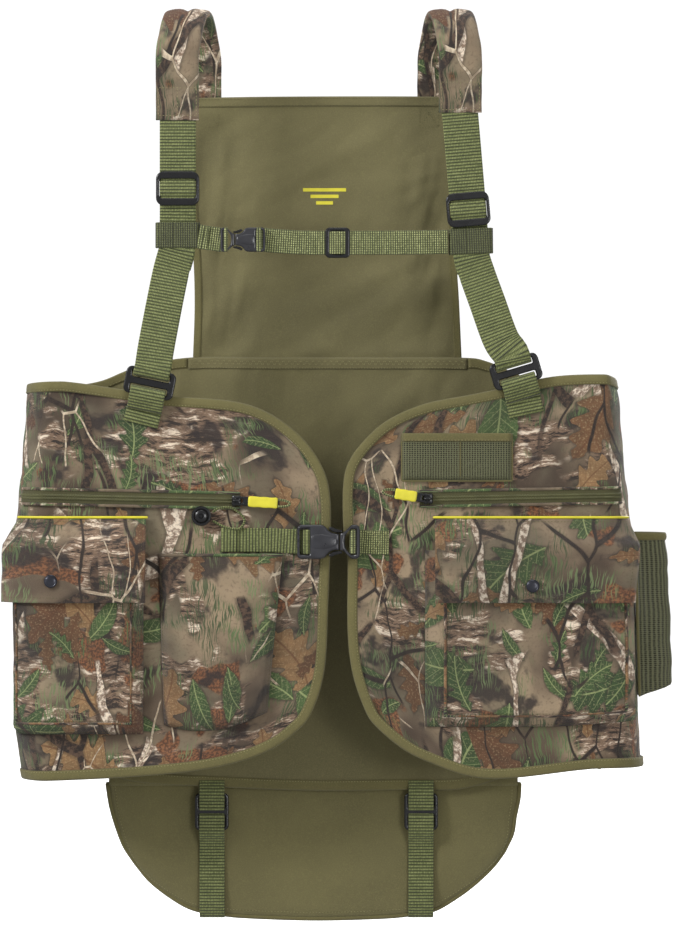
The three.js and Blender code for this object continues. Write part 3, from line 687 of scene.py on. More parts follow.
EDGE = SEAM - 0.4
back = patch([(-EDGE, -800), (-244, -802), (-203, -812), (-120, -817), (-14, -821), (90, -820), (143, -819),
    (203, -802), (244, -791), (EDGE, -789)],
    [(-EDGE, -390), (-245, -383), (-208, -369), (-150, -357.6), (-60, -357.2), (60, -357.2), (143, -357.6),
    (171, -362), (225, -383), (EDGE, -388)],
    [(-EDGE, -800), (-EDGE, -390)], [(EDGE, -789), (EDGE, -388)])


def back_point(u, v, off=0.0):
    x, z = back(u, v)
    soft = 5.2 * fold(x, z, 90, 5, 2.6, 1.3) + 3.2 * fold(x, z, 38, 1, 2.8, 1.1)
    soft += 3.6 * smooth(-430, -357, z) * fold(x, z, 20, 6, 3.8, 1.5) + 2.0 * smooth(-740, -810, z) * fold(x,
        z, 26, 8, 3, 0.3)
    soft = max(-6.5, soft - 1.0)
    return (x, HALF + 0.2 + min(soft, 2.5) * rim(u, v) - off, z)


place(cloth("back_cloth", 120, 80, back_point, (579, 450), 3.4, LINING, CAMO, outward=(0, -1, 0)),
    "harness", "olive_fabric", "back_panel")
band("waist_seam", "harness", back_point, 0.245, 0.752, 0.972, 0.999, 100, 6, (290, 13), LINING, 0.7)
band("back_hem", "harness", back_point, 0.002, 0.998, 0.001, 0.025, 120, 6, (570, 10), BINDING, 0.7)
for name, u0, u1 in (("right", 0.002, 0.243), ("left", 0.754, 0.998)):
    band(f"back_{name}_wing_binding", "harness", back_point, u0, u1, 0.976, 0.999, 40, 6, (140, 9), BINDING,
        0.7)
    place(stitches(f"back_{name}_wing_stitches", [along(back_point, u0, u1, 0.98, 0.98, 1.6)], PALE_THREAD),
        "harness", "olive_fabric")
zigzag = [back_point(lerp(0.25, 0.748, k / 92), 0.981 + 0.012 * (k % 2), 1.6) for k in range(93)]
place(stitches("waist_stitches", [[a, b] for a, b in zip(zigzag, zigzag[1:])] +
    [along(back_point, 0.25, 0.748, 0.975, 0.975, 1.5), along(back_point, 0.08, 0.92, 0.021, 0.021, 1.5, 24)],
    PALE_THREAD, 3.0, 2.2), "harness", "olive_fabric")

# three plain printed dashes, a mark of no maker
marks = []
for k, wide in enumerate((46, 30, 18)):
    z = -178 - 7 * k
    marks += [[(x, 0, z + dz) for x, dz in ((-wide / 2 - 4, -1.8), (wide / 2 - 4, -1.8), (wide / 2 - 4, 1.8),
        (-wide / 2 - 4, 1.8))]]


def print_mark():
    verts, faces = [], []
    for quad in marks:
        (x0, _, z0), _, (x1, _, z1), _ = quad
        n = 14
        for i in range(n + 1):
            x = lerp(x0, x1, i / n)
            for z in (z0, z1):
                u, v = (x + 150) / 292, (z + 364) / 285
                y = yoke_point(u, v, 0.35)[1]
                verts.append((x, y, z))
            if i < n:
                b = len(verts) - 2
                faces.append((b, b + 2, b + 3, b + 1))
    return mesh_object("printed_mark", verts, faces, [YELLOW])


place(print_mark(), "harness", "yellow_trim")

# ---- game bag ----
BAG_HALF, BAG_LOW, BAG_HIGH, BAG_DEEP = 225, -759, -400, 23


def bag_point(u, v):
    x = lerp(-BAG_HALF, BAG_HALF, u)
    z = lerp(BAG_LOW, BAG_HIGH, v)
    rise = min(1, 14 * min(u, 1 - u)) ** 0.5 * min(1, 11 * v) ** 0.5
    sag = 0.9 + 0.1 * math.sin(math.pi * u)
    soft = 1.5 * fold(x, z, 80, 12, 2, 1.4) + 0.9 * fold(x, z, 32, 14, 2.4, 0.4)
    return (x, OUT + 0.6 + rise * (BAG_DEEP * sag - 2.6 + min(soft, 1.8)), z)


place(cloth("game_bag_cloth", 100, 80, bag_point, (480, 380), 1.4, CAMO, OLIVE, (0.9, 0.3), outward=(0, 1, 0)),
    "harness", "camo_fabric", "game_bag")
place(tube("game_bag_hem", [bag_point(k / 30, 1.0) for k in range(31)], 2.2, BINDING, 120, 10, 0.8),
    "harness", "olive_fabric")

# ---- shoulder pads ----
PADS = {"right": (-158.5, -137, -110, -72), "left": (139, 118, -102, -66)}
PAD_WIDE, PAD_THICK, PAD_TOP, PAD_ARCH, PAD_REACH = 46, 11, 5.5, 45.5, 42.5
for side, (front, rear, end, seam) in PADS.items():
    points = [(front, -PAD_REACH, end), (front, -PAD_REACH - 0.5, (end - 40) / 2)]
    points += [(lerp(front, rear, k / 8), -PAD_REACH * math.cos(math.pi * k / 8),
        PAD_TOP - PAD_ARCH + PAD_ARCH * math.sin(math.pi * k / 8)) for k in range(9)]
    points += [(rear, HALF + 1, -60), (rear, OUT + 2, -94)]
    line = Line(points)
    n, m = 130, 48
    verts, uvs = [], []
    for i in range(n + 1):
        u = i / n
        p, t = line.at(u), line.way(u)
        nrm = t.cross(Vector((1, 0, 0))).normalized()
        a = nrm.cross(t).normalized()
        full = lerp(0.3, 1, smooth(0.13, 0.175, u) * (1 - smooth(0.82, 0.9, u)))
        for k in range(m):
            angle = 2 * math.pi * k / m
            s = math.cos(angle)
            across = math.copysign(abs(s) ** 0.75, s)
            crown = abs(math.sin(angle)) ** 0.55
            lift = crown * (1 - 0.5 * math.exp(-(across / 0.16) ** 2) * smooth(0.1, 0.2, u)) * full
            quilt = 1 + 0.10 * fold(across * 20, u * line.length, 16, 3, 0.8)
            crease = -0.12 * max(0, math.sin(u * 75 + 3 * noise.noise(Vector((u * 9, across, 1))))) ** 6
            h = math.copysign(lift * (quilt + crease) * PAD_THICK / 2, math.sin(angle))
            verts.append(p + a * across * (PAD_WIDE / 2) * (0.985 + 0.02 * noise.noise(Vector((u * 14, s,
                8)))) + nrm * h)
            uvs.append((across * 30 + (400 if math.sin(angle) < 0 else 0), u * line.length))
    faces = [(i * m + k, i * m + (k + 1) % m, (i + 1) * m + (k + 1) % m,
        (i + 1) * m + k) for i in range(n) for k in range(m)]
    faces += [tuple(range(m))[::-1], tuple(range(n * m, n * m + m))]
    pad = place(mesh_object(f"{side}_pad_cushion", verts, faces, [CAMO], uvs), "harness", "camo_fabric",
        f"{side}_shoulder_pad")
    y = -PAD_REACH - 2.1
    place(stitches(f"{side}_pad_stitches", [[(front + dx, y, seam + dz), (front + ex, y, seam + fz)] for dx,
        dz, ex, fz in (
        (-20, -4, 20, -4), (-20, -33, 20, -33), (-20, -4, -20, -33), (20, -4, 20, -33), (0, -4, 0, -33))],
            PALE_THREAD),
        "harness", "camo_fabric")

# ---- shoulder webbing, keepers, tri-glides, loop buckles and tabs ----
WEB_Y = -44
WEBS = {
    "right": dict(lean=0, start=-158, top=-108, keeper=(-158.3, -231),
        tail=((-158, -213), (-158.8, -246), (-163, -264)),
        low=((-165, -269), (-171, -299), (-180, -347)), buckle=(-187, -386.5), turn=-11.5, tab=(-197, -430)),
    "left": dict(lean=0.085, start=138.7, top=-102, keeper=(150, -237.5),
        tail=((148.2, -215), (150.8, -253), (154.5, -268)),
        low=((157, -273), (167, -301), (181, -340)), buckle=(197, -374.5), turn=16.5, tab=(208.5, -420)),
}
for side, k in WEBS.items():
    def x_at(z, k=k):
        return k["start"] + (k["top"] - z) * k["lean"]
    upper = [(x_at(k["top"] + 14), -42.2, k["top"] + 14), (x_at(k["top"]), -42.5, k["top"])]
    upper += [(x_at(z), WEB_Y, z) for z in (-128, -160, -190)]
    upper += [(x, WEB_Y - 0.6 * i, z) for i, (x, z) in enumerate(k["tail"])]
    place(strap(f"{side}_shoulder_strap", upper, 38, WEB, (1, 0, 0), RIBBED), "harness", "webbing",
        f"{side}_shoulder_webbing")

    turn = math.radians(-k["turn"])
    (bx, bz), bar_y = k["buckle"], -OUT - 7.4

    def at(down, y, bx=bx, bz=bz, turn=turn):
        return (bx - math.sin(turn) * down, y, bz - math.cos(turn) * down)

    def bend(down, way):
        return [at(down + way * 5.4 * math.sin(math.pi * i / 6),
            bar_y + 5.4 * math.cos(math.pi * i / 6)) for i in range(7)]

    across = (math.cos(turn), 0, -math.sin(turn))
    place(strap(f"{side}_tab_strap", [(k["tab"][0], bar_y + 5.6, k["tab"][1]), at(22, bar_y + 5.6),
        *bend(11, -1),
        at(20, bar_y - 3), at(30, bar_y + 3)], 37, WEB, across, RIBBED), f"{side}_front", "webbing",
        f"{side}_anchor_tab")

    def layer(y0, y1):
        return [(x, lerp(y0, y1, i / 2), z) for i, (x, z) in enumerate(k["low"])]

    # the last of the strap overlaps the upper webbing, so no gap shows where it is threaded
    lead = [(x_at(-236), WEB_Y - 2.4, -236), (k["tail"][1][0], WEB_Y - 2.6, k["tail"][1][1])]
    low = strap(f"{side}_lower_strap", [*lead, *layer(-47.2, bar_y - 2.4), at(-20, bar_y - 4.9),
        *bend(-11, 1)[::-1],
        at(-20, bar_y + 5.4), *layer(-43.2, -48.6)[::-1]], 38, WEB, across, RIBBED)
    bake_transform(low)
    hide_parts(f"{side}_lower_webbing")

    # tri-glide: a thick frame, with the turn of webbing it grips riding with it
    gx, gz = {"right": (-158, -182), "left": (147.2, -204)}[side]
    lean = k["lean"]
    to = in_frame((gx, -47.4, gz), (1, 0, lean), (-lean, 0, 1))
    place(moulded(f"{side}_tri_glide_frame", ring(45.6, 36, 8), [ring(38.8, 20.4, 3.4)], 4.2, 1.5, BLACK, to),
        f"{side}_tri_glide_body", "black_plastic", f"{side}_tri_glide")
    place(strap(f"{side}_glide_turn", [to((0, d, h)) for d, h in ((11.6, -1.4), (8.6, -0.9), (4, 0.9),
        (-4, 1.0), (-8.6, -0.8),
        (-11.6, -1.4))], 38, WEB, (1, 0, lean), RIBBED, 16), f"{side}_tri_glide_body", "webbing")

    # loop buckle: two windows and a bar between them
    to = in_frame((bx, bar_y + 0.2, bz), across, (math.sin(turn), 0, math.cos(turn)))
    place(moulded(f"{side}_loop_frame", ring(53, 29, 6.5), [ring(39.4, 6.6, 1.6, (0, 7.2)),
        ring(39.4, 6.6, 1.6, (0, -7.2))], 4.4, 1.5,
        BLACK, to), f"{side}_front", "black_plastic", f"{side}_loop_buckle")

    # woven keeper: a tunnel of webbing sewn round the strap
    kx, kz = k["keeper"]
    y0, half_w, tilt = WEB_Y - 0.3, 19.8, k["lean"]
    ringed = []
    for s, y in ((-0.2, -3.6), (1, -3.2), (1.04, 0), (1, 3.0), (-1, 3.0), (-1.04, 0), (-1, -3.2), (-0.2, -3.6)):
        ringed.append((kx + s * half_w, y0 + y, kz + s * half_w * tilt * 0.5))
    place(strap(f"{side}_keeper_loop", ringed, 27, 1.3, (0, 0, 1), DENSE, 80), "harness", "webbing",
        f"{side}_sternum_keeper")

# ---- front panels ----
PANEL = {
    "right": dict(width=((-803, 324), (-755, 333), (-600, 333), (-540, 332), (-498, 328), (-425, 321.6),
        (-382, 317.5)),
        bottom=((SEAM, -803), (208, -799), (140, -792.5), (94, -783), (60, -770), (37, -754)),
        top=((SEAM, -386), (267, -387), (212, -395), (171, -401), (105, -406), (71, -415), (44, -431)),
        edge=((37, -754), (19, -733), (5, -688), (1, -614), (-1.7, -534.5), (-0.5, -503), (5, -480),
            (21, -453), (44, -431)),
        ends=(-803, -390)),
    "left": dict(width=((-789, 333), (-719, 329), (-619, 326), (-541, 323), (-500, 318), (-447, 313),
        (-402, 308),
        (-380, 304)),
        bottom=((SEAM, -790), (262, -792), (194, -800), (153, -799), (115, -787), (81, -771), (50, -745)),
        top=((SEAM, -378.5), (235, -381), (183, -393), (149, -400), (103, -409), (69, -423), (46, -440)),
        edge=((50, -745), (37.6, -724), (26, -687), (21.6, -642), (21.6, -574), (17, -534), (17.6, -488),
            (26, -464),
            (46, -440)),
        ends=(-790, -388)),
}


def on_panel(side, s, z, off):
    sign = SIGN[side]
    if s <= SEAM:
        return (sign * s, -OUT - off, z)
    angle, a = (s - SEAM) / QUARTER * math.pi / 2, read(PANEL[side]["width"], z) - SEAM + off
    return (sign * (SEAM + a * math.sin(angle)), -(OUT + off) * math.cos(angle), z)


def rest(s):
    return 0.4 + 1.1 * smooth(SEAM - 30, SEAM, s)


def quiet(side, s, z):
    """0 where hardware and pockets lie on the panel, 1 where it is free to fold."""
    free = 1.0
    zones = {"right": ((186, 345, -522, -765), (40, 186, -560, -762), (85, 345, -490, -522)),
        "left": ((92, 345, -522, -765), (70, 200, -430, -496), (90, 345, -490, -522),
        (335, 415, -540, -725))}[side]
    for s0, s1, z1, z0 in zones:
        inside = min(s - s0, s1 - s, z - z0, z1 - z)
        free = min(free, 1 - 0.75 * smooth(-10, 6, inside))
    return free


FLAT_PART = SEAM / (SEAM + 2 * QUARTER)
panel_points = {}
for side, p in PANEL.items():
    shape = patch(p["bottom"], p["top"], [p["bottom"][0], p["top"][0]], p["edge"])

    def front_point(u, v, off=0.0, side=side, p=p, shape=shape):
        k = 1 - u  # u runs from the front edge to the side seam
        if k >= 1 - FLAT_PART:
            w = (k - (1 - FLAT_PART)) / FLAT_PART
            s, z = shape(w, v)
            s = min(s, SEAM)
        else:
            w = 1 - k / (1 - FLAT_PART)
            s = SEAM + 2 * QUARTER * w
            z = lerp(lerp(p["bottom"][0][1], p["ends"][0], w), lerp(p["top"][0][1], p["ends"][1], w), v)
        soft = 3.2 * fold(s, z, 70, 21 + len(side), 1.8, 1.2) + 2.3 * fold(s, z, 30, 5, 2.4, 0.7)
        soft = soft * quiet(side, s, z) * smooth(0, 0.05, u) * smooth(0, 0.08, 1 - u)
        return on_panel(side, s, z, max(-3.4, min(0.5, soft - 0.9)) + off)

    panel_points[side] = front_point
    sheet = cloth(f"{side}_front_cloth", 120, 70, front_point, (426, 415), 2.0, CAMO, LINING,
        (0.0 if side == "right" else 1.7, 0.0), outward=None)
    # the cut's width runs from the front edge, so flip faces where the normal points in
    mid = sheet.data.polygons[20 * 120 + 20]
    if mid.normal.y > 0:
        sheet.data.flip_normals()
    place(sheet, f"{side}_front", "camo_fabric", f"{side}_front_panel")

    # binding: olive tape folded round the whole free edge, from the side seam at the back to the front and back again
    round_side = [(SEAM + QUARTER * q, 0) for q in (2, 1.33, 0.67)]
    outline = [(s, lerp(p["bottom"][0][1], p["ends"][0], (s - SEAM) / QUARTER / 2)) for s,
        _ in round_side] + list(p["bottom"])
    outline += list(p["edge"])[1:] + list(p["top"])[::-1][1:]
    outline += [(s, lerp(p["top"][0][1], p["ends"][1], (s - SEAM) / QUARTER / 2)) for s, _ in round_side[::-1]]
    edge = Line([(s, 0, z) for s, z in outline], 8)
    n = 330
    profile = [(9.4, 0.2), (9.0, 1.0), (5, 1.25), (1, 1.3), (-0.8, 0.6), (-1.3, -1.2), (-0.8, -3.4),
        (1, -4.3), (6, -4.4),
        (6.2, -3.9), (1.4, -3.7), (0.5, -1.2), (1.4, 0.1)]
    verts, uvs = [], []
    for i in range(n + 1):
        c, t = edge.at(i / n), edge.way(i / n)
        pucker = 0.16 * math.sin(i * 1.9) + 0.24 * noise.noise(Vector((i * 0.35, 4, 2)))
        for q, (inset, off) in enumerate(profile):
            s, z = c.x + t.z * inset, c.z - t.x * inset
            verts.append(on_panel(side, s, z, off + (pucker if off > 0.9 else 0)))
            uvs.append((q * 2.0, i / n * edge.length))
    m = len(profile)
    faces = [(i * m + q, i * m + (q + 1) % m, (i + 1) * m + (q + 1) % m,
        (i + 1) * m + q) for i in range(n) for q in range(m)]
    faces += [tuple(range(m))[::-1], tuple(range(n * m, n * m + m))]
    if side == "left":
        faces = [f[::-1] for f in faces]
    place(mesh_object(f"{side}_edge_binding", verts, faces, [BINDING], uvs), f"{side}_front", "olive_fabric",
        f"{side}_front_binding")
    seam = []
    for k in range(150):
        c, t = edge.at(k / 149), edge.way(k / 149)
        seam.append(on_panel(side, c.x + t.z * 7.6, c.z - t.x * 7.6, 1.5))
    place(stitches(f"{side}_edge_stitches", [seam], PALE_THREAD), f"{side}_front", "olive_fabric")


# ---- pockets ----
def pocket(name, side, nodes, s0, s1, low, high, deep, material, cut, shift, slot_name="camo_fabric",
    slump=1.0, wall=0.075,
        thick=1.2, seed=0.0, n=(70, 60), lift=0.0):
    """A sewn pouch, open at the top: s0, s1 and low are functions, deep its rise off the panel."""
    def point(u, v, off=0.0):
        a, b = s0(v) + 1.8, s1(v) - 1.8
        s = lerp(a, b, u)
        base = low(u) + 1.8
        z = lerp(base, high, v)
        side_rise = smooth(0, wall, min(u, 1 - u)) ** 0.7
        foot = smooth(0, wall * (b - a) / max(1, high - base), v) ** 0.7
        full = min(side_rise, foot) * lerp(0.82, 1, math.sin(math.pi * u) ** 0.6)
        soft = slump * (2.6 * fold(s, z, 50, seed, 1.8, 1.1) + 1.5 * fold(s, z, 21, seed + 3, 2.6, 0.4))
        soft -= slump * 2.2 * smooth(0.35, 0, v) * abs(fold(s, z, 17, seed + 6, 3.2, 1.35))
        mouth = 1 - 0.06 * smooth(0.85, 1, v) * math.sin(math.pi * u)
        return on_panel(side, s, z, rest(s) + thick + full * max(0.5,
            (deep - thick - 2.2) * mouth + max(-5.0, min(soft, 1.6))) + lift + off)
    sheet = cloth(name, n[0], n[1], point, cut, thick, material, shift=shift, outward=None)
    mid = sheet.data.polygons[(n[1] // 2) * n[0] + n[0] // 2]
    if mid.normal.dot(Vector((SIGN[side], -0.3, 0) if s1(0.5) > 340 else (0, -1, 0))) < 0:
        sheet.data.flip_normals()
    place(sheet, f"{side}_front", slot_name, *nodes)
    return sheet, point


def steady(x):
    return lambda _: x


cargo, cargo_point = {}, {}
for side, (a, b, low, cut, shift) in {
        "right": (192, 334, steady(-757), (184, 215), (0.37, 0.11)),
        "left": (100, 332, lambda f: -749 + 16 * max(0, f - 0.6), (272, 208), (2.31, 0.17))}.items():
    cargo[side], cargo_point[side] = pocket(f"{side}_cargo_pouch", side, [f"{side}_cargo_pocket"], steady(a),
        steady(b), low,
        -562, 18, CAMO, cut, shift, seed=31 + b)
    f = cargo_point[side]
    rows = [along(f, 0.012, 0.012, 0.03, 0.98, 0.5, 20), along(f, 0.988, 0.988, 0.03, 0.98, 0.5, 20),
        along(f, 0.02, 0.98, 0.012, 0.012, 0.5, 30), along(f, 0.10, 0.90, 0.075, 0.075, 0.4, 40),
        along(f, 0.10, 0.10, 0.075, 0.98, 0.4, 20), along(f, 0.90, 0.90, 0.075, 0.98, 0.4, 20)]
    place(stitches(f"{side}_cargo_stitches", rows, THREAD), f"{side}_front", "camo_fabric")
    for name, (u0, u1, v0, v1) in {"foot": (0.09, 0.91, 0.055, 0.068), "inner": (0.085, 0.099, 0.06, 0.99),
            "outer": (0.901, 0.915, 0.06, 0.99)}.items():
        g = f if name == "foot" else (lambda u, v, off, f=f: f(v, u, off))
        lims = (u0, u1, v0, v1) if name == "foot" else (v0, v1, u0, u1)
        band(f"{side}_cargo_{name}_pleat", f"{side}_front", g, *lims, 60, 4, (190, 4), CAMO, 0.25,
            "camo_fabric", 1.1)

call, call_point = pocket("right_call_pouch", "right", ["right_call_pocket"], lambda v: lerp(62, 46, v),
    lambda v: lerp(174, 180, v), lambda f: -740 - 16 * math.sin(math.pi * clamp(f * 0.85)) + 6 * (1 - f),
        -567, 13, CAMO,
    (150, 205), (0.61, 0.43), seed=50, slump=1.3)
place(stitches("call_stitches", [along(call_point, 0.015, 0.015, 0.03, 0.98, 0.5, 20),
    along(call_point, 0.985, 0.985, 0.03, 0.98, 0.5, 20),
    along(call_point, 0.03, 0.97, 0.015, 0.015, 0.5, 30), along(call_point, 0.04, 0.96, 0.945, 0.945, 0.5,
        30)], THREAD),
    "right_front", "camo_fabric")
place(tube("call_pocket_hem", [call_point(k / 20, 1.0, -0.4) for k in range(21)], 1.7, CAMO, 80, 8),
    "right_front", "camo_fabric")

net, net_point = pocket("left_net_pouch", "left", ["left_mesh_pocket"], steady(75.6), steady(195),
    steady(-491), -440, 7, NET,
    (128, 58), (0, 0), "mesh_fabric", 0.5, 0.04, 0.8, seed=61, n=(50, 24))
band("left_net_hem", "left_front", net_point, 0.0, 1.0, 0.84, 1.02, 60, 6, (128, 10), BINDING, 0.9)
place(stitches("left_net_stitches", [along(net_point, 0.02, 0.98, 0.87, 0.87, 1.9, 20)], PALE_THREAD),
    "left_front", "olive_fabric")
for name, u in (("inner", 0.0), ("divider", 0.53), ("outer", 1.0)):
    place(tube(f"left_net_{name}_edge", [net_point(u, k / 8, 0.2) for k in range(9)],
        0.9 if name != "divider" else 0.8, BINDING,
        24, 8, 0.5), "left_front", "olive_fabric")
place(tube("left_net_foot", [net_point(k / 24, 0.0, 0.3) for k in range(25)], 0.9, BINDING, 80, 8, 0.5),
    "left_front", "olive_fabric")

bottle, bottle_point = pocket("bottle_net", "left", ["bottle_pocket"], steady(341), steady(408), steady(-719),
    -548, 38, NET,
    (130, 200), (0.2, 0), "mesh_fabric", 0.8, 0.22, 1.0, seed=77, n=(48, 56))
place(tube("bottle_hem", [bottle_point(k / 30, 1.0) for k in range(31)], 4.2, BINDING, 90, 12, 0.42),
    "left_front", "olive_fabric")
for name, u in (("front", 0.0), ("rear", 1.0)):
    place(tube(f"bottle_{name}_edge", [bottle_point(u, k / 10, 0.2) for k in range(11)], 1.8, BINDING, 40, 8,
        0.6), "left_front",
        "olive_fabric")

# ---- flaps, piping and snaps ----
FLAP = {"right": (190, 332, 0, (290, -594)), "left": (111, 326, 10, (214, -599))}
PROFILE = ((0.0, 1.2, -527.5), (0.32, 20.4, -556), (0.4, 21.2, -563), (1.0, 21.2, -617))
for side, (s0, s1, taper, (snap_s, snap_z)) in FLAP.items():
    def flap_point(u, v, off=0.0, side=side, s0=s0, s1=s1, taper=taper):
        o = read([(k, a) for k, a, _ in PROFILE], v)
        z = read([(k, b) for k, _, b in PROFILE], v)
        s = lerp(s0 + 1, s1 - 1 - taper * v, u)
        o = o - 1.2 * math.sin(math.pi * clamp((v - 0.1) / 0.6)) * smooth(0.6, 0, v)
        soft = 1.6 * fold(s, z, 44, 90 + len(side), 1.8, 0.3) + 0.9 * fold(s, z, 19, 95, 2.4, 0.9)
        pull = -0.9 * math.exp(-((s - snap_s) ** 2 + (z - snap_z) ** 2) / 200)
        return on_panel(side, s, z + 1.5 * fold(s, 0, 60, 3) * smooth(0.6, 1, v),
            o + 1.6 + max(-0.7, min(0.7, soft + pull) * smooth(0, 0.2, v)) + off)
    sheet = cloth(f"{side}_flap_cloth", 80, 44, flap_point, (s1 - s0, 96), 1.5, CAMO, OLIVE,
        (1.03 if side == "right" else 3.2, 0.7), outward=None)
    if sheet.data.polygons[22 * 80 + 30].normal.y > 0:
        sheet.data.flip_normals()
    place(sheet, f"{side}_flap", "camo_fabric", f"{side}_pocket_flap")
    rows = [along(flap_point, 0.03, 0.97, 0.94, 0.94, 0.5, 40),
        along(flap_point, 0.03, 0.03, 0.06, 0.94, 0.5, 12),
        along(flap_point, 0.97, 0.97, 0.06, 0.94, 0.5, 12), along(flap_point, 0.02, 0.98, 0.05, 0.05, 0.5, 40)]
    place(stitches(f"{side}_flap_stitches", rows, THREAD), f"{side}_flap", "camo_fabric")
    # the piping caps the root of the flap, just under the hinge line, and turns with it
    line = [on_panel(side, lerp(s0 - 1, s1 + 1, k / 24), -527.4, 3.6) for k in range(25)]
    place(tube(f"{side}_piping", line, 1.35, YELLOW, 110, 10), f"{side}_flap", "yellow_trim")

# ---- zips ----
ZIP = {"right": (92, 330, -510, -505, 96, 0, 58), "left": (96, 318, -508, -504, 105, 14, 50)}
for side, (s0, s1, z0, z1, slider, rise, pull) in ZIP.items():
    sign = SIGN[side]

    def zip_point(u, v, off=0.0, side=side, s0=s0, s1=s1, z0=z0, z1=z1):
        s = lerp(s0, s1, u)
        crown = 0.9 * math.exp(-(((v - 0.5) * 16) / 2.4) ** 2)
        return on_panel(side, s, lerp(z0, z1, u) + (v - 0.5) * 16, rest(s) + 1.0 + crown + off)

    tape = cloth(f"{side}_zip_cloth", 90, 16, zip_point, (s1 - s0, 16), 0.6, TAPE, outward=None)
    if tape.data.polygons[8 * 90 + 20].normal.y > 0:
        tape.data.flip_normals()
    place(tape, f"{side}_front", "zip_tape", f"{side}_zip_tape")
    # the coil: a thin filament winding along each side of the join
    turns = int((s1 - s0) / 1.7)
    data = bpy.data.curves.new(f"{side}_zip_coil", "CURVE")
    data.dimensions, data.bevel_depth, data.bevel_resolution = "3D", 0.42 * MM, 1
    for middle in (-1.55, 1.55):
        coil = []
        for k in range(turns * 6 + 1):
            a = 2 * math.pi * k / 6
            s = lerp(s0 + 1, s1 - 1, k / (turns * 6))
            u = (s - s0) / (s1 - s0)
            coil.append(on_panel(side, s, lerp(z0, z1, u) + middle + 1.05 * math.sin(a),
                rest(s) + 2.0 + 0.45 * math.cos(a)))
        spline = data.splines.new("POLY")
        spline.points.add(len(coil) - 1)
        for q, c in zip(spline.points, coil):
            q.co = (*(x * MM for x in c), 1)
    data.materials.append(COIL)
    obj = bpy.data.objects.new(f"{side}_zip_coil", data)
    scene.collection.objects.link(obj)
    place(obj, f"{side}_front", "zip_tape")
    for k, v in enumerate((0.12, 0.88)):
        place(stitches(f"{side}_zip_row{k}", [along(zip_point, 0.0, 1, v, v, 0.4, 20)], THREAD, 2.6, 1.8),
            f"{side}_front", "zip_tape")
    # folded lips of the panel cloth above and below the tape
    for name, v, grow in (("upper", 1.0, 1.6), ("lower", 0.0, 1.6)):
        lip = tube(f"{side}_zip_{name}_lip", [zip_point(k / 30, v, 0.2) for k in range(31)], grow, CAMO, 90,
            8, 0.6)
        place(lip, f"{side}_front", "camo_fabric")

# ---- side seams: a taped edge on each hinge line ----
for side, sign in SIGN.items():
    line = [(sign * SEAM, OUT - 1.2, lerp(-388.5, -798, k / 40)) for k in range(41)]
    place(tube(f"{side}_side_seam", line, 3.0, BINDING, 120, 12), "harness", "olive_fabric")

# ---- zip sliders and pulls ----
for side, (s0, s1, z0, z1, slider, rise, pull) in ZIP.items():
    sign, low = SIGN[side], {"right": (-96, -56.6, -509.9), "left": (105, -56.6, -507.8)}[side]
    body = in_frame((low[0], -53.6, low[2]), (1, 0, 0), (0, 0, 1))
    place(blob(f"{side}_slider_body", [(-5, 3.4, 1.4), (-4.7, 5.2, 2.2), (-2.6, 6.0, 2.6), (0, 4.9, 2.7),
        (2.6, 6.0, 2.6),
        (4.7, 5.2, 2.2), (5, 3.4, 1.4)], body, BLACK, 0.5), f"{side}_slider", "black_plastic",
        f"{side}_zip_slider")
    place(tube(f"{side}_slider_bridge", [body(q) for q in ((-4, 0, 2), (-3.4, 0, 4.6), (0, 0, 5.6),
        (3.4, 0, 4.6), (4, 0, 2))], 1.1,
        BLACK, 20, 10), f"{side}_slider", "black_plastic")
    tilt = math.radians({"right": 3.5, "left": -9}[side])
    reach = -sign  # both pulls lie toward the middle of the vest
    way = (math.cos(tilt) * reach, 0, -abs(math.sin(tilt)) if side == "right" else math.sin(-tilt))
    to = in_frame(low, way, (-way[2], 0, way[0]))

    def piece(obj, slot_name, *nodes, side=side):
        place(obj, f"{side}_pull", slot_name, *nodes)

    piece(moulded(f"{side}_pull_link", mirrored([(-2.4, 1.2), (-1.6, 3.4), (1, 4.6), (10, 4.8), (13.6, 4.4)]),
        [ring(7.6, 4.8, 1.2, (2.9, 0))], 2.4, 0.8, BLACK, to), "black_plastic")
    tab = [(12, 3.2, 1.0), (12.6, 5.0, 1.9), (14, 5.6, 2.2)]
    tab += [(lerp(15, pull - 17, k / 8), 5.6 + 0.25 * math.sin(k * 1.7),
        2.2 + 0.12 * math.cos(k * 2.1)) for k in range(9)]
    tab += [(pull - 15.6, 5.4, 2.0), (pull - 14.8, 4.6, 1.2)]
    piece(blob(f"{side}_pull_tab", tab, to, YELLOW, 0.45), "yellow_trim", f"{side}_zip_pull")
    loop = [to((pull - 16 + 14 * math.sin(math.pi * k / 12) ** 0.8, 3.6 * math.cos(math.pi * k / 12),
        0)) for k in range(13)]
    piece(tube(f"{side}_pull_loop", loop, 1.3, CHECKED, 48, 10), "yellow_trim")

# ---- cord lock and flap snaps ----
to = in_frame((LOCK_X, -OUT - 2, LOCK_Z), (1, 0, 0), (0, 0, 1))
place(lathe("lock_barrel", [(6, 0.2), (9.6, 0.2), (10.4, 1.0), (10.5, 5.4), (9.9, 6.6), (8.0, 7.0),
    (7.3, 6.6), (6.9, 7.0), (6.6, 10.2),
    (5.9, 11.1), (2.6, 11.3), (2.1, 10.7), (2.0, 8.0)], to, BLACK), "right_front", "black_plastic",
    "right_cord_lock")
for side, (x, z) in {"right": (-290, -594), "left": (214, -599)}.items():
    to = in_frame((x, -72.9, z), (1, 0, 0), (0, 0, 1))
    place(lathe(f"{side}_snap_cap", [(5.6, 0), (6.8, 0.1), (7.0, 0.8), (6.6, 1.5), (5.6, 2.1), (5.2, 1.9),
        (4.6, 2.2), (2.4, 2.45),
        (0.4, 2.5)], to, SNAP), f"{side}_flap", "snap_metal", f"{side}_flap_snap")

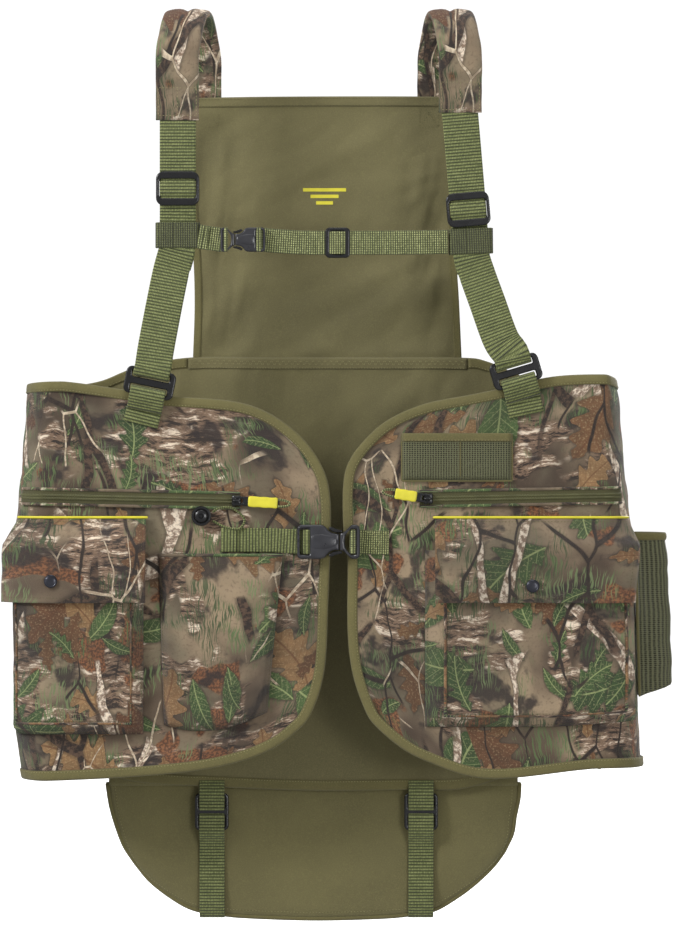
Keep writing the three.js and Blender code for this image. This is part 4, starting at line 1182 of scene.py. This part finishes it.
# ---- side release buckles ----
SHELL = [(-33, 12), (-32.6, 15.6), (-29.5, 18), (-9, 18), (-5.6, 17.4), (-3, 15.8), (-1.2, 13.2), (1.2, 10.8),
    (4.4, 9.2), (8, 8.5),
    (11.2, 8.6)]
PRONG = [(11.8, 8.6), (15, 9.6), (18.6, 12), (21.6, 15.6), (24.4, 17.8), (29.4, 18), (32.4, 15.8), (33, 12)]
ARM = [(0.2, 13.4), (1.0, 15.6), (3.4, 15.6), (8, 13.6), (14.2, 12.2), (14.2, 9.9), (8.6, 9.6), (4.6, 10.4)]
for name, (x, y, z), size, way, owners in (
        ("sternum", (-89.5, -51.2, -236), 0.71, -1, ("sternum_left_half", "sternum_right_half",
            "sternum_arm_{}_body")),
        ("waist", (0.5, -58, -553), 1.0, 1, ("right_front", "left_front", "waist_arm_{}_body"))):
    def turned(p, x=x, y=y, z=z, size=size, way=way):
        return Vector((x + way * p[0] * size, y - p[2] * size, z + p[1] * size))
    slot_hole = ring(10.4, 27, 1.8, (-25, 0))
    window = mirrored([(17.0, 0.01), (17.8, 6), (20.2, 10.6), (23.6, 13.4), (29.2, 13.4)])
    place(moulded(f"{name}_socket_shell", mirrored(SHELL), [slot_hole], 9.6, 2.6, BUCKLE, turned), owners[0],
        "black_plastic",
        f"{name}_buckle_socket")
    place(blob(f"{name}_socket_crown", [(-18.6, 5.6, 0.6, 4.0), (-17.4, 7.2, 1.2, 4.0), (-14, 8.0, 1.9, 4.0),
        (-6, 8.0, 2.2, 4.0),
        (2, 6.6, 2.0, 4.0), (7, 4.8, 1.4, 4.0), (9.8, 3.4, 0.7, 4.0)], turned, BUCKLE, 0.85), owners[0],
        "black_plastic")
    place(moulded(f"{name}_plug_body", mirrored(PRONG), [window], 8.4, 2.4, BUCKLE, turned), owners[1],
        "black_plastic",
        f"{name}_buckle_plug")
    for which, up in (("upper", 1), ("lower", -1)):
        line = [(a, b * up) for a, b in ARM]
        place(moulded(f"{name}_arm_{which}_tab", line, [], 6.6, 1.2, BLACK, turned), owners[2].format(which),
            "black_plastic",
            f"{name}_arm_{which}")

Z = (0, 0, 1)
place(strap("waist_strap_right", [(-109, -50.9, -551), (-85, -51.4, -551.3), (-60, -51.4, -551.5),
    (-38, -52.2, -552.6), (-29, -55.4, -553),
    (-25.4, -60, -553), (-22.6, -62.4, -553), (-19.6, -61, -553), (-18.8, -58, -553)], 25.4, WEB, Z, RIBBED,
        60), "right_front", "webbing",
    "waist_webbing_right")
place(strap("waist_strap_left", [(64, -51, -554), (44, -51.6, -553.6), (34.5, -52.4, -553),
    (29.8, -55.4, -553), (28.4, -60, -553),
    (26.4, -62, -553), (24.2, -60.4, -553), (23.4, -56, -553), (27, -52.6, -553)], 25.4, WEB, Z, CHECKED, 50),
        "left_front", "webbing",
    "waist_webbing_left")
place(strap("waist_strap_fold", [(-109.5, -51.6, -551), (-111.6, -52.2, -551), (-112, -53.2, -551),
    (-110, -53.9, -551), (-96, -53.4, -551.2)],
    25.2, 1.3, Z, RIBBED, 24), "right_front", "webbing")
rows = [[(x, -53.0, -553.6 + d * 11), (x, -53.0, -553.6)] for x in (47, 61) for d in (-1, 1)]
rows += [[(47, -53.0, -564.4), (54, -53.2, -553.6), (61, -53.0, -543)],
    [(47, -53.0, -543), (54, -53.2, -553.6), (61, -53.0, -564.4)]]
place(stitches("waist_strap_stitches", rows, PALE_THREAD), "left_front", "webbing")

CHEST = -47
place(strap("sternum_strap_short", [(-136.4, CHEST, -232.4), (-128, CHEST - 0.6, -233.8),
    (-116, CHEST - 0.6, -235.4), (-113, -48.4, -236),
    (-109.6, -50.4, -236), (-108.6, -53.6, -236), (-107, -54.6, -236), (-105.6, -53, -236)], 25.2, WEB, Z,
        CHECKED, 40),
    "sternum_right_half", "webbing", "sternum_webbing_short")
place(strap("sternum_strap_fold", [(-130.6, CHEST - 1.9, -233.3), (-127.4, CHEST - 2.3, -233.9),
    (-126.4, CHEST - 3.0, -234.1)], 25, 1.2, Z,
    CHECKED, 10), "sternum_right_half", "webbing")
place(strap("sternum_strap_long", [(-75, -53.4, -236), (-72.6, -54.8, -236), (-70.4, -53.6, -236),
    (-67.6, -50, -236), (-62, -48, -236.6),
    (-50, CHEST, -237.5), (-20, CHEST, -239), (20, CHEST, -239), (60, CHEST, -239),
        (100, CHEST - 0.6, -238.6), (126, CHEST, -238.2)], 25.2,
    WEB, Z, CHECKED, 110), "sternum_left_half", "webbing", "sternum_webbing_long")
place(strap("sternum_strap_tail", [(60, CHEST + 3, -239), (84, CHEST + 3, -238.9), (104, CHEST + 2.9, -238.6),
    (122, CHEST + 2.6, -238.2)], 25, 1.3, Z, CHECKED, 40), "sternum_left_half", "webbing")
place(stitches("sternum_stitches", [[(x, CHEST - 1.9, z + d * 11) for d in (1, 0, -1)] for x,
    z in ((106, -238.6), (117, -238.4))],
    PALE_THREAD), "sternum_left_half", "webbing")
to = in_frame((10, CHEST - 0.4, -239), (1, 0, 0), Z)
place(moulded("sternum_adjuster_frame", ring(26, 32, 4.6), [ring(15.6, 24.4, 2.4, (-0.6, 0))], 4.4, 1.5,
    BLACK, to),
    "sternum_adjuster_body", "black_plastic", "sternum_adjuster")
place(strap("sternum_adjuster_turn", [to((d, 0, h)) for d, h in ((-8.6, 0.6), (-3, 2.2), (3, 2.8), (6.4, 2.6),
    (8.8, 1.0))], 24, WEB, Z,
    CHECKED, 16), "sternum_adjuster_body", "webbing")

# ---- drop seat ----
LOW_EDGE = [(-206, -900), (-190, -919), (-165, -938), (-143, -949), (-112, -954.5), (-80, -957), (-14, -959),
    (50, -957.5), (84, -955),
    (112, -950), (134, -938), (156, -922), (176, -903), (188, -887)]
seat = patch(LOW_EDGE, [(-237, -812.6), (-150, -812.6), (0, -812.6), (120, -812.6), (205, -812.6)],
    [(-206, -900), (-218, -882), (-226, -862), (-233, -838), (-237, -812.6)],
    [(188, -887), (197, -868), (200, -849.5), (204, -830), (205, -812.6)])
SEAT_Y, SEAT_HALF = 61, 10.6


def seat_point(u, v, way, off=0.0):
    x, z = seat(u, v)
    near = min(u * 9.5, (1 - u) * 9.5, v * 3.4, (1 - v) * 5.5 + 0.25)
    full = clamp(near) ** 0.42 if near < 1 else 1.0
    soft = 1.5 * fold(x, z, 70, 41, 1.8, 0.2) + 0.8 * fold(x, z, 28, 44, 2.2, 1.1)
    soft += 0.8 * math.exp(-((abs(x + 14) - 190) / 16) ** 2) * fold(x, z, 18, 46, 2.4, 1.4)
    strap_dip = sum(smooth(24, 10, abs(x - t)) for t in (-124.5, 99.2))
    h = full * (SEAT_HALF - 1.4 + min(soft, 0.9) - 0.8 * strap_dip) + 0.3
    return (x, SEAT_Y - way * (h + off), z)


nu, nv = 110, 46
verts = [seat_point(i / nu, j / nv, way) for way in (1, -1) for j in range(nv + 1) for i in range(nu + 1)]
half = (nu + 1) * (nv + 1)
faces, slots = [], []
for part, base in ((0, 0), (1, half)):
    for j in range(nv):
        for i in range(nu):
            quad = (base + j * (nu + 1) + i, base + j * (nu + 1) + i + 1, base + (j + 1) * (nu + 1) + i + 1,
                base + (j + 1) * (nu + 1) + i)
            faces.append(quad if part == 0 else quad[::-1])
            slots.append(part)
border = [i for i in range(nu + 1)] + [j * (nu + 1) + nu for j in range(1, nv + 1)]
border += [nv * (nu + 1) + i for i in range(nu - 1, -1, -1)] + [j * (nu + 1) for j in range(nv - 1, 0, -1)]
for a, b in zip(border, border[1:] + border[:1]):
    faces.append((b, a, a + half, b + half))
    slots.append(0)
uvs = [(i / nu * 442 + 300 * way, j / nv * 150) for way in (0, 1) for j in range(nv + 1) for i in range(nu + 1)]
def flange_point(u, v):
    return (lerp(-235, 203, u), 49.6 + 0.5 * fold(u * 430, v * 20, 30, 51, 2, 0) + 0.8 * v, lerp(-816, -792, v))


place(cloth("seat_flange", 90, 6, flange_point, (438, 24), 0.9, OLIVE, outward=(0, -1, 0)), "harness",
    "olive_fabric")
cushion = place(mesh_object("seat_cushion", verts, faces, [OLIVE, CAMO], uvs, slots), "seat", "olive_fabric",
    "seat_foam",
    "seat_front_cover", "seat_back_cover")
rim_line = [seat(0, 1 - k / 12) for k in range(12)] + [seat(k / 60, 0) for k in range(61)] + [seat(1,
    k / 12) for k in range(1, 13)]
place(tube("seat_binding", [(x, SEAT_Y, z) for x, z in rim_line], 2.6, BINDING, 260, 10, 1.3), "seat",
    "olive_fabric")
inner = [seat_point(0.018, 1 - k / 12 * 0.95, 1, 0.3) for k in range(12)] + [seat_point(lerp(0.018, 0.982,
    k / 60), 0.05, 1, 0.3) for k in range(61)]
inner += [seat_point(0.982, 0.05 + 0.95 * k / 12, 1, 0.3) for k in range(1, 13)]
place(stitches("seat_stitches", [inner], PALE_THREAD), "seat", "olive_fabric")

for side, x in (("right", -124.5), ("left", 99.2)):
    to = in_frame((x, 42.0, -843), (1, 0, 0), Z)
    place(moulded(f"{side}_seat_lock_frame", ring(36, 40, 5.5),
        [ring(27.8, 13.6, 1.8, (0, 9.8)), ring(27.8, 13.6, 1.8, (0, -9.8))], 4.4, 1.5,
        BLACK, to), "seat", "black_plastic", f"{side}_seat_lock")
    place(strap(f"{side}_seat_tab_strap", [(x, 43.9, -810), (x, 41.4, -815), (x, 38.7, -821), (x, 38.4, -830),
        (x, 38.6, -838.4), (x, 40.6, -841.2),
        (x, 43.6, -840.6), (x, 45.4, -834)], 27, WEB, (1, 0, 0), RIBBED, 40), "seat", "webbing",
        f"{side}_seat_tab")
    place(strap(f"{side}_seat_long_strap", [(x, 45.8, -850), (x, 43.6, -846.4), (x, 40.8, -845.2),
        (x, 38.6, -848.4), (x, 38.4, -860), (x, 40.4, -867), (x, 45.4, -874),
        (x, 48.6, -885), (x, 49.2, -915), (x, 50.6, -938), (x, 55.2, -953), (x, 61, -957.4)], 27, WEB,
            (1, 0, 0), RIBBED, 90),
        "seat", "webbing", f"{side}_seat_strap")
    place(stitches(f"{side}_seat_tab_stitches", [[(x - 12, 42.8, -815), (x + 12, 42.8, -815)],
        [(x - 12, 42.4, -819), (x + 12, 42.4, -819)]],
        PALE_THREAD), "seat", "webbing")
